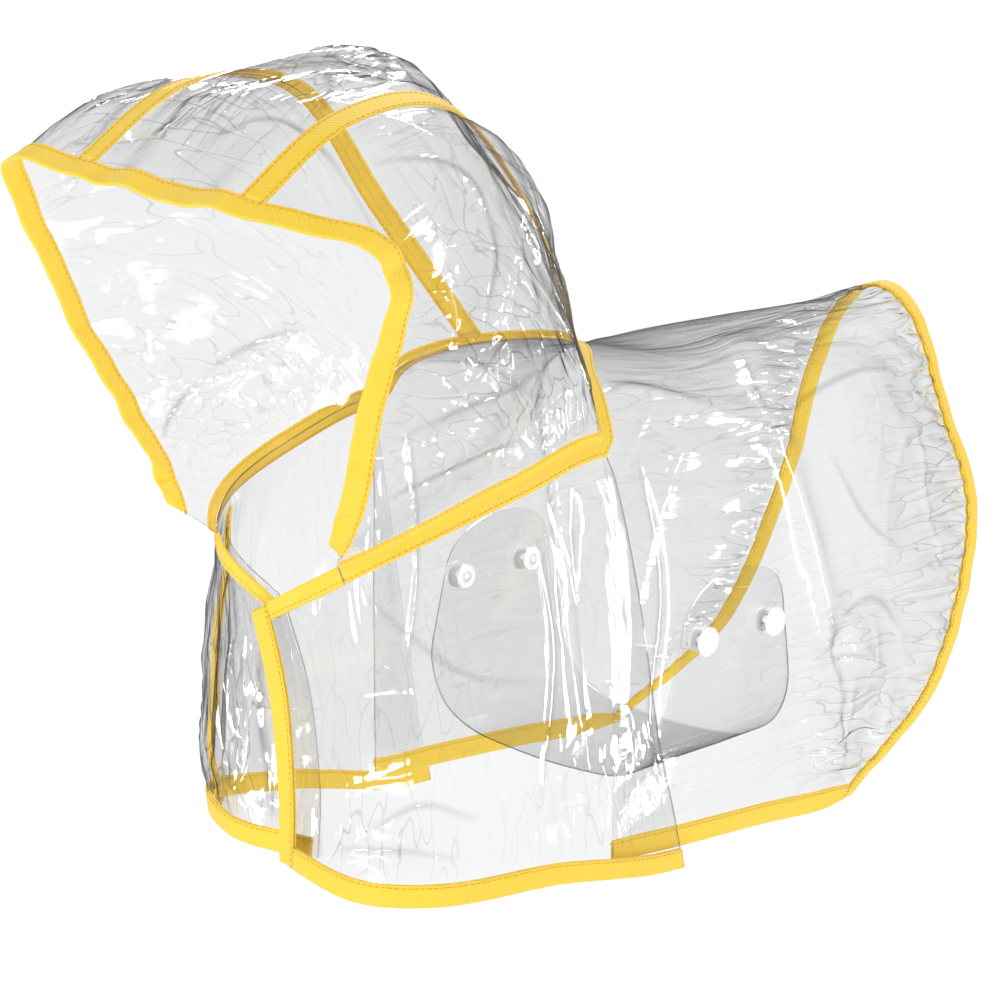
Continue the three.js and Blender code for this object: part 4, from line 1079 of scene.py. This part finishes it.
def turned(name, outline, sign, y, z):
    """A form turned about a line along x. outline holds radius and x pairs, from axis to axis."""
    angles = np.linspace(0, 2 * np.pi, SNAP_FACETS, endpoint=False)
    inner = outline[1:-1]
    points = [(sign * outline[0][1], y, z)]
    for r, x in inner:
        points += [(sign * x, y + r * np.cos(t), z + r * np.sin(t)) for t in angles]
    points.append((sign * outline[-1][1], y, z))
    faces = []
    for k in range(SNAP_FACETS):
        nxt = (k + 1) % SNAP_FACETS
        faces.append((0, 1 + k, 1 + nxt))
        for j in range(len(inner) - 1):
            a = 1 + j * SNAP_FACETS
            b = a + SNAP_FACETS
            faces.append((a + k, b + k, b + nxt, a + nxt))
        a = 1 + (len(inner) - 1) * SNAP_FACETS
        faces.append((a + k, len(points) - 1, a + nxt))
    if sign > 0:
        faces = [f[::-1] for f in faces]
    return new_object(name, points, faces, SNAP)


def rounded(outline, count=4):
    """An outline of radius and x pairs with its corners rounded."""
    out = [outline[0]]
    for before, corner, after in zip(outline, outline[1:], outline[2:]):
        b, c, a = (np.array(v, float) for v in (before, corner, after))
        r = min(CORNER, np.linalg.norm(b - c) / 2.2, np.linalg.norm(a - c) / 2.2)
        start, end = c + unit(b - c) * r, c + unit(a - c) * r
        for k in np.linspace(0, 1, count):
            out.append(tuple((1 - k) ** 2 * start + 2 * k * (1 - k) * c + k**2 * end))
    out.append(outline[-1])
    return out


def x_reach(snap_node):
    """How near to the coat's middle plane a node comes, and how far from it, in millimetres."""
    low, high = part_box(snap_node)
    return sorted((abs(low.x) / MM, abs(high.x) / MM))


def snaps():
    for side, sign in (("left", 1), ("right", -1)):
        for place, (y, z) in SNAP_PLACES.items():
            inner, outer = x_reach(f"snap_cap_{side}_{place}")
            seat = outer - CAP_HEIGHT
            cap = [
                (0, inner),
                (STEM_RADIUS, inner),
                (STEM_RADIUS, seat),
                (SNAP_RADIUS, seat),
                (SNAP_RADIUS, seat + 0.9),
                (SNAP_RADIUS - 1.2, seat + 1.9),
                (SNAP_RADIUS - 3.5, seat + CAP_HEIGHT),
                (SNAP_RADIUS - 4.2, seat + 1.6),
                (0, seat + 1.6),
            ]
            obj = turned(f"snap_{side}_{place}_cap", rounded(cap), sign, y, z)
            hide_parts(f"snap_cap_{side}_{place}")
            bottom, top = x_reach(f"snap_socket_{side}_{place}")
            ring = [
                (BORE_RADIUS, top),
                (SNAP_RADIUS - 1, top),
                (SNAP_RADIUS - 1, bottom + 0.6),
                (SNAP_RADIUS - 1.8, bottom),
                (BORE_RADIUS, bottom),
            ]
            obj = socket(f"snap_{side}_{place}_socket", ring, sign, y, z)
            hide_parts(f"snap_socket_{side}_{place}")


def socket(name, outline, sign, y, z):
    """A ring turned about a line along x, from a closed outline of radius and x pairs."""
    angles = np.linspace(0, 2 * np.pi, SNAP_FACETS, endpoint=False)
    points = [(sign * x, y + r * np.cos(t), z + r * np.sin(t)) for t in angles for r, x in outline]
    n = len(outline)
    faces = []
    for k in range(SNAP_FACETS):
        for j in range(n):
            a = k * n + j
            b = k * n + (j + 1) % n
            d = ((k + 1) % SNAP_FACETS) * n + j
            c = ((k + 1) % SNAP_FACETS) * n + (j + 1) % n
            faces.append((a, b, c, d) if sign > 0 else (d, c, b, a))
    return new_object(name, points, faces, SNAP)


belly_strap()
snaps()


# Stitches
def stitch_tree():
    tree = bpy.data.node_groups.new("stitches along lines", "GeometryNodeTree")
    tree.interface.new_socket("Geometry", in_out="INPUT", socket_type="NodeSocketGeometry")
    for name in ("Pitch", "Length", "Radius"):
        tree.interface.new_socket(name, in_out="INPUT", socket_type="NodeSocketFloat")
    tree.interface.new_socket("Thread", in_out="INPUT", socket_type="NodeSocketMaterial")
    tree.interface.new_socket("Geometry", in_out="OUTPUT", socket_type="NodeSocketGeometry")
    given = node(tree, "NodeGroupInput")
    curve = node(tree, "GeometryNodeMeshToCurve", {0: given["Geometry"]})[0]
    dots = node(tree, "GeometryNodeCurveToPoints", {"Curve": curve, "Length": given["Pitch"]}, mode="LENGTH")
    bead = node(tree, "GeometryNodeMeshUVSphere", {"Segments": 6, "Rings": 5, "Radius": 0.5})["Mesh"]
    double = node(tree, "ShaderNodeMath", {0: given["Radius"], 1: 2}, operation="MULTIPLY")[0]
    size = node(tree, "ShaderNodeCombineXYZ", {"X": double, "Y": double, "Z": given["Length"]})[0]
    beads = {"Points": dots["Points"], "Instance": bead, "Rotation": dots["Rotation"], "Scale": size}
    placed = node(tree, "GeometryNodeInstanceOnPoints", beads)[0]
    real = node(tree, "GeometryNodeRealizeInstances", {0: placed})[0]
    sewn = node(tree, "GeometryNodeSetMaterial", {"Geometry": real, "Material": given["Thread"]})[0]
    node(tree, "NodeGroupOutput", {0: sewn})
    return tree


def stitches():
    points, edges = [], []
    for line in stitch_lines:
        start = len(points)
        points += (np.asarray(line) * MM).tolist()
        edges += [(start + k, start + k + 1) for k in range(len(line) - 1)]
    mesh = bpy.data.meshes.new("stitch lines")
    mesh.from_pydata(points, edges, [])
    source = bpy.data.objects.new("stitch_lines", mesh)
    bpy.context.scene.collection.objects.link(source)
    modifier = source.modifiers.new("stitches", "NODES")
    tree = stitch_tree()
    modifier.node_group = tree
    sizes = {"Pitch": STITCH_PITCH, "Length": STITCH, "Radius": STITCH_RADIUS}
    values = {name: size * MM for name, size in sizes.items()}
    values["Thread"] = THREAD
    for item in tree.interface.items_tree:
        if item.in_out == "INPUT" and item.name in values:
            modifier[item.identifier] = values[item.name]
    bpy.context.view_layer.update()
    made = source.evaluated_get(bpy.context.evaluated_depsgraph_get())
    mesh = bpy.data.meshes.new_from_object(made)
    bpy.data.objects.remove(source)
    mesh.name = "stitches"
    mesh.materials.clear()
    mesh.materials.append(THREAD)
    mesh.polygons.foreach_set("use_smooth", np.ones(len(mesh.polygons), bool))
    bpy.context.scene.collection.objects.link(bpy.data.objects.new("stitches", mesh))


stitches()

# Each piece made here is attached to the coat's body
root = next(iter(frame["bodies"]))
shown = [o for o in bpy.context.scene.objects if o.type == "MESH" and "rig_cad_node" not in o]
for obj in shown:
    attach(obj, root)


# Stage, lights and camera
FLOOR_Z = -0.62
FLOOR_REACH = 30.0
STUDIO_TINT = (0.8, 0.81, 0.83, 1)
STUDIO_STRENGTH = 0.16
CAMERA_PLACE = (0.9606, -1.0066, 0.2637)
CAMERA_AIM = (0, -0.046, -0.075)
LENS = 100.8
SENSOR = 36
# Softboxes: name, place, target, width, height and power in watts
SOFTBOXES = [
    ("key", (-0.3, -1.9, 1.3), (0, 0, 0), 0.8, 0.8, 34),
    ("low front", (0.4, -1.5, -0.54), (0.05, -0.1, -0.2), 1.7, 0.14, 13),
    ("side strip", (1.35, 0.95, -0.35), (0, 0.05, -0.12), 0.1, 0.7, 6),
    ("fill", (1.9, 0.55, 0.5), (0, -0.1, 0), 0.4, 0.5, 24),
    ("top", (-0.5, 1.0, 1.7), (0, 0, 0), 0.8, 0.4, 26),
    ("back", (-1.5, 0.9, 0.5), (0, 0, 0), 0.35, 0.8, 12),
]


def stage():
    mesh = bpy.data.meshes.new("floor")
    signs = ((-1, -1), (1, -1), (1, 1), (-1, 1))
    mesh.from_pydata([(x * FLOOR_REACH, y * FLOOR_REACH, FLOOR_Z) for x, y in signs], [], [(0, 1, 2, 3)])
    floor = bpy.data.objects.new("floor", mesh)
    floor.data.materials.append(plain_material("pale floor", (0.02, 0.02, 0.02), 0.9, 1.0))
    bpy.context.scene.collection.objects.link(floor)
    floor.visible_glossy = False
    world = bpy.data.worlds.new("studio")
    world.use_nodes = True
    back = world.node_tree.nodes["Background"]
    back.inputs[0].default_value = STUDIO_TINT
    back.inputs[1].default_value = STUDIO_STRENGTH
    bpy.context.scene.world = world


def softbox(name, place, target, width, height, power):
    light = bpy.data.lights.new(name, "AREA")
    light.shape = "RECTANGLE"
    light.size = width
    light.size_y = height
    light.energy = power
    obj = bpy.data.objects.new(name, light)
    obj.location = place
    obj.rotation_euler = (Vector(target) - Vector(place)).to_track_quat("-Z", "Y").to_euler()
    bpy.context.scene.collection.objects.link(obj)


def camera():
    data = bpy.data.cameras.new("photo angle")
    data.lens = LENS
    data.sensor_width = SENSOR
    obj = bpy.data.objects.new("photo angle", data)
    obj.location = CAMERA_PLACE
    aim = Vector(CAMERA_AIM) - obj.location
    obj.rotation_euler = aim.to_track_quat("-Z", "Y").to_euler()
    bpy.context.scene.collection.objects.link(obj)
    bpy.context.scene.camera = obj


stage()
for row in SOFTBOXES:
    softbox(*row)
camera()
bpy.context.scene.view_settings.view_transform = "Standard"
cycles = bpy.context.scene.cycles
# Enough for every layer of film that a ray goes through
cycles.transparent_max_bounces = 32
cycles.max_bounces = 4
cycles.adaptive_threshold = 0.06
cycles.diffuse_bounces = 2
cycles.glossy_bounces = 2

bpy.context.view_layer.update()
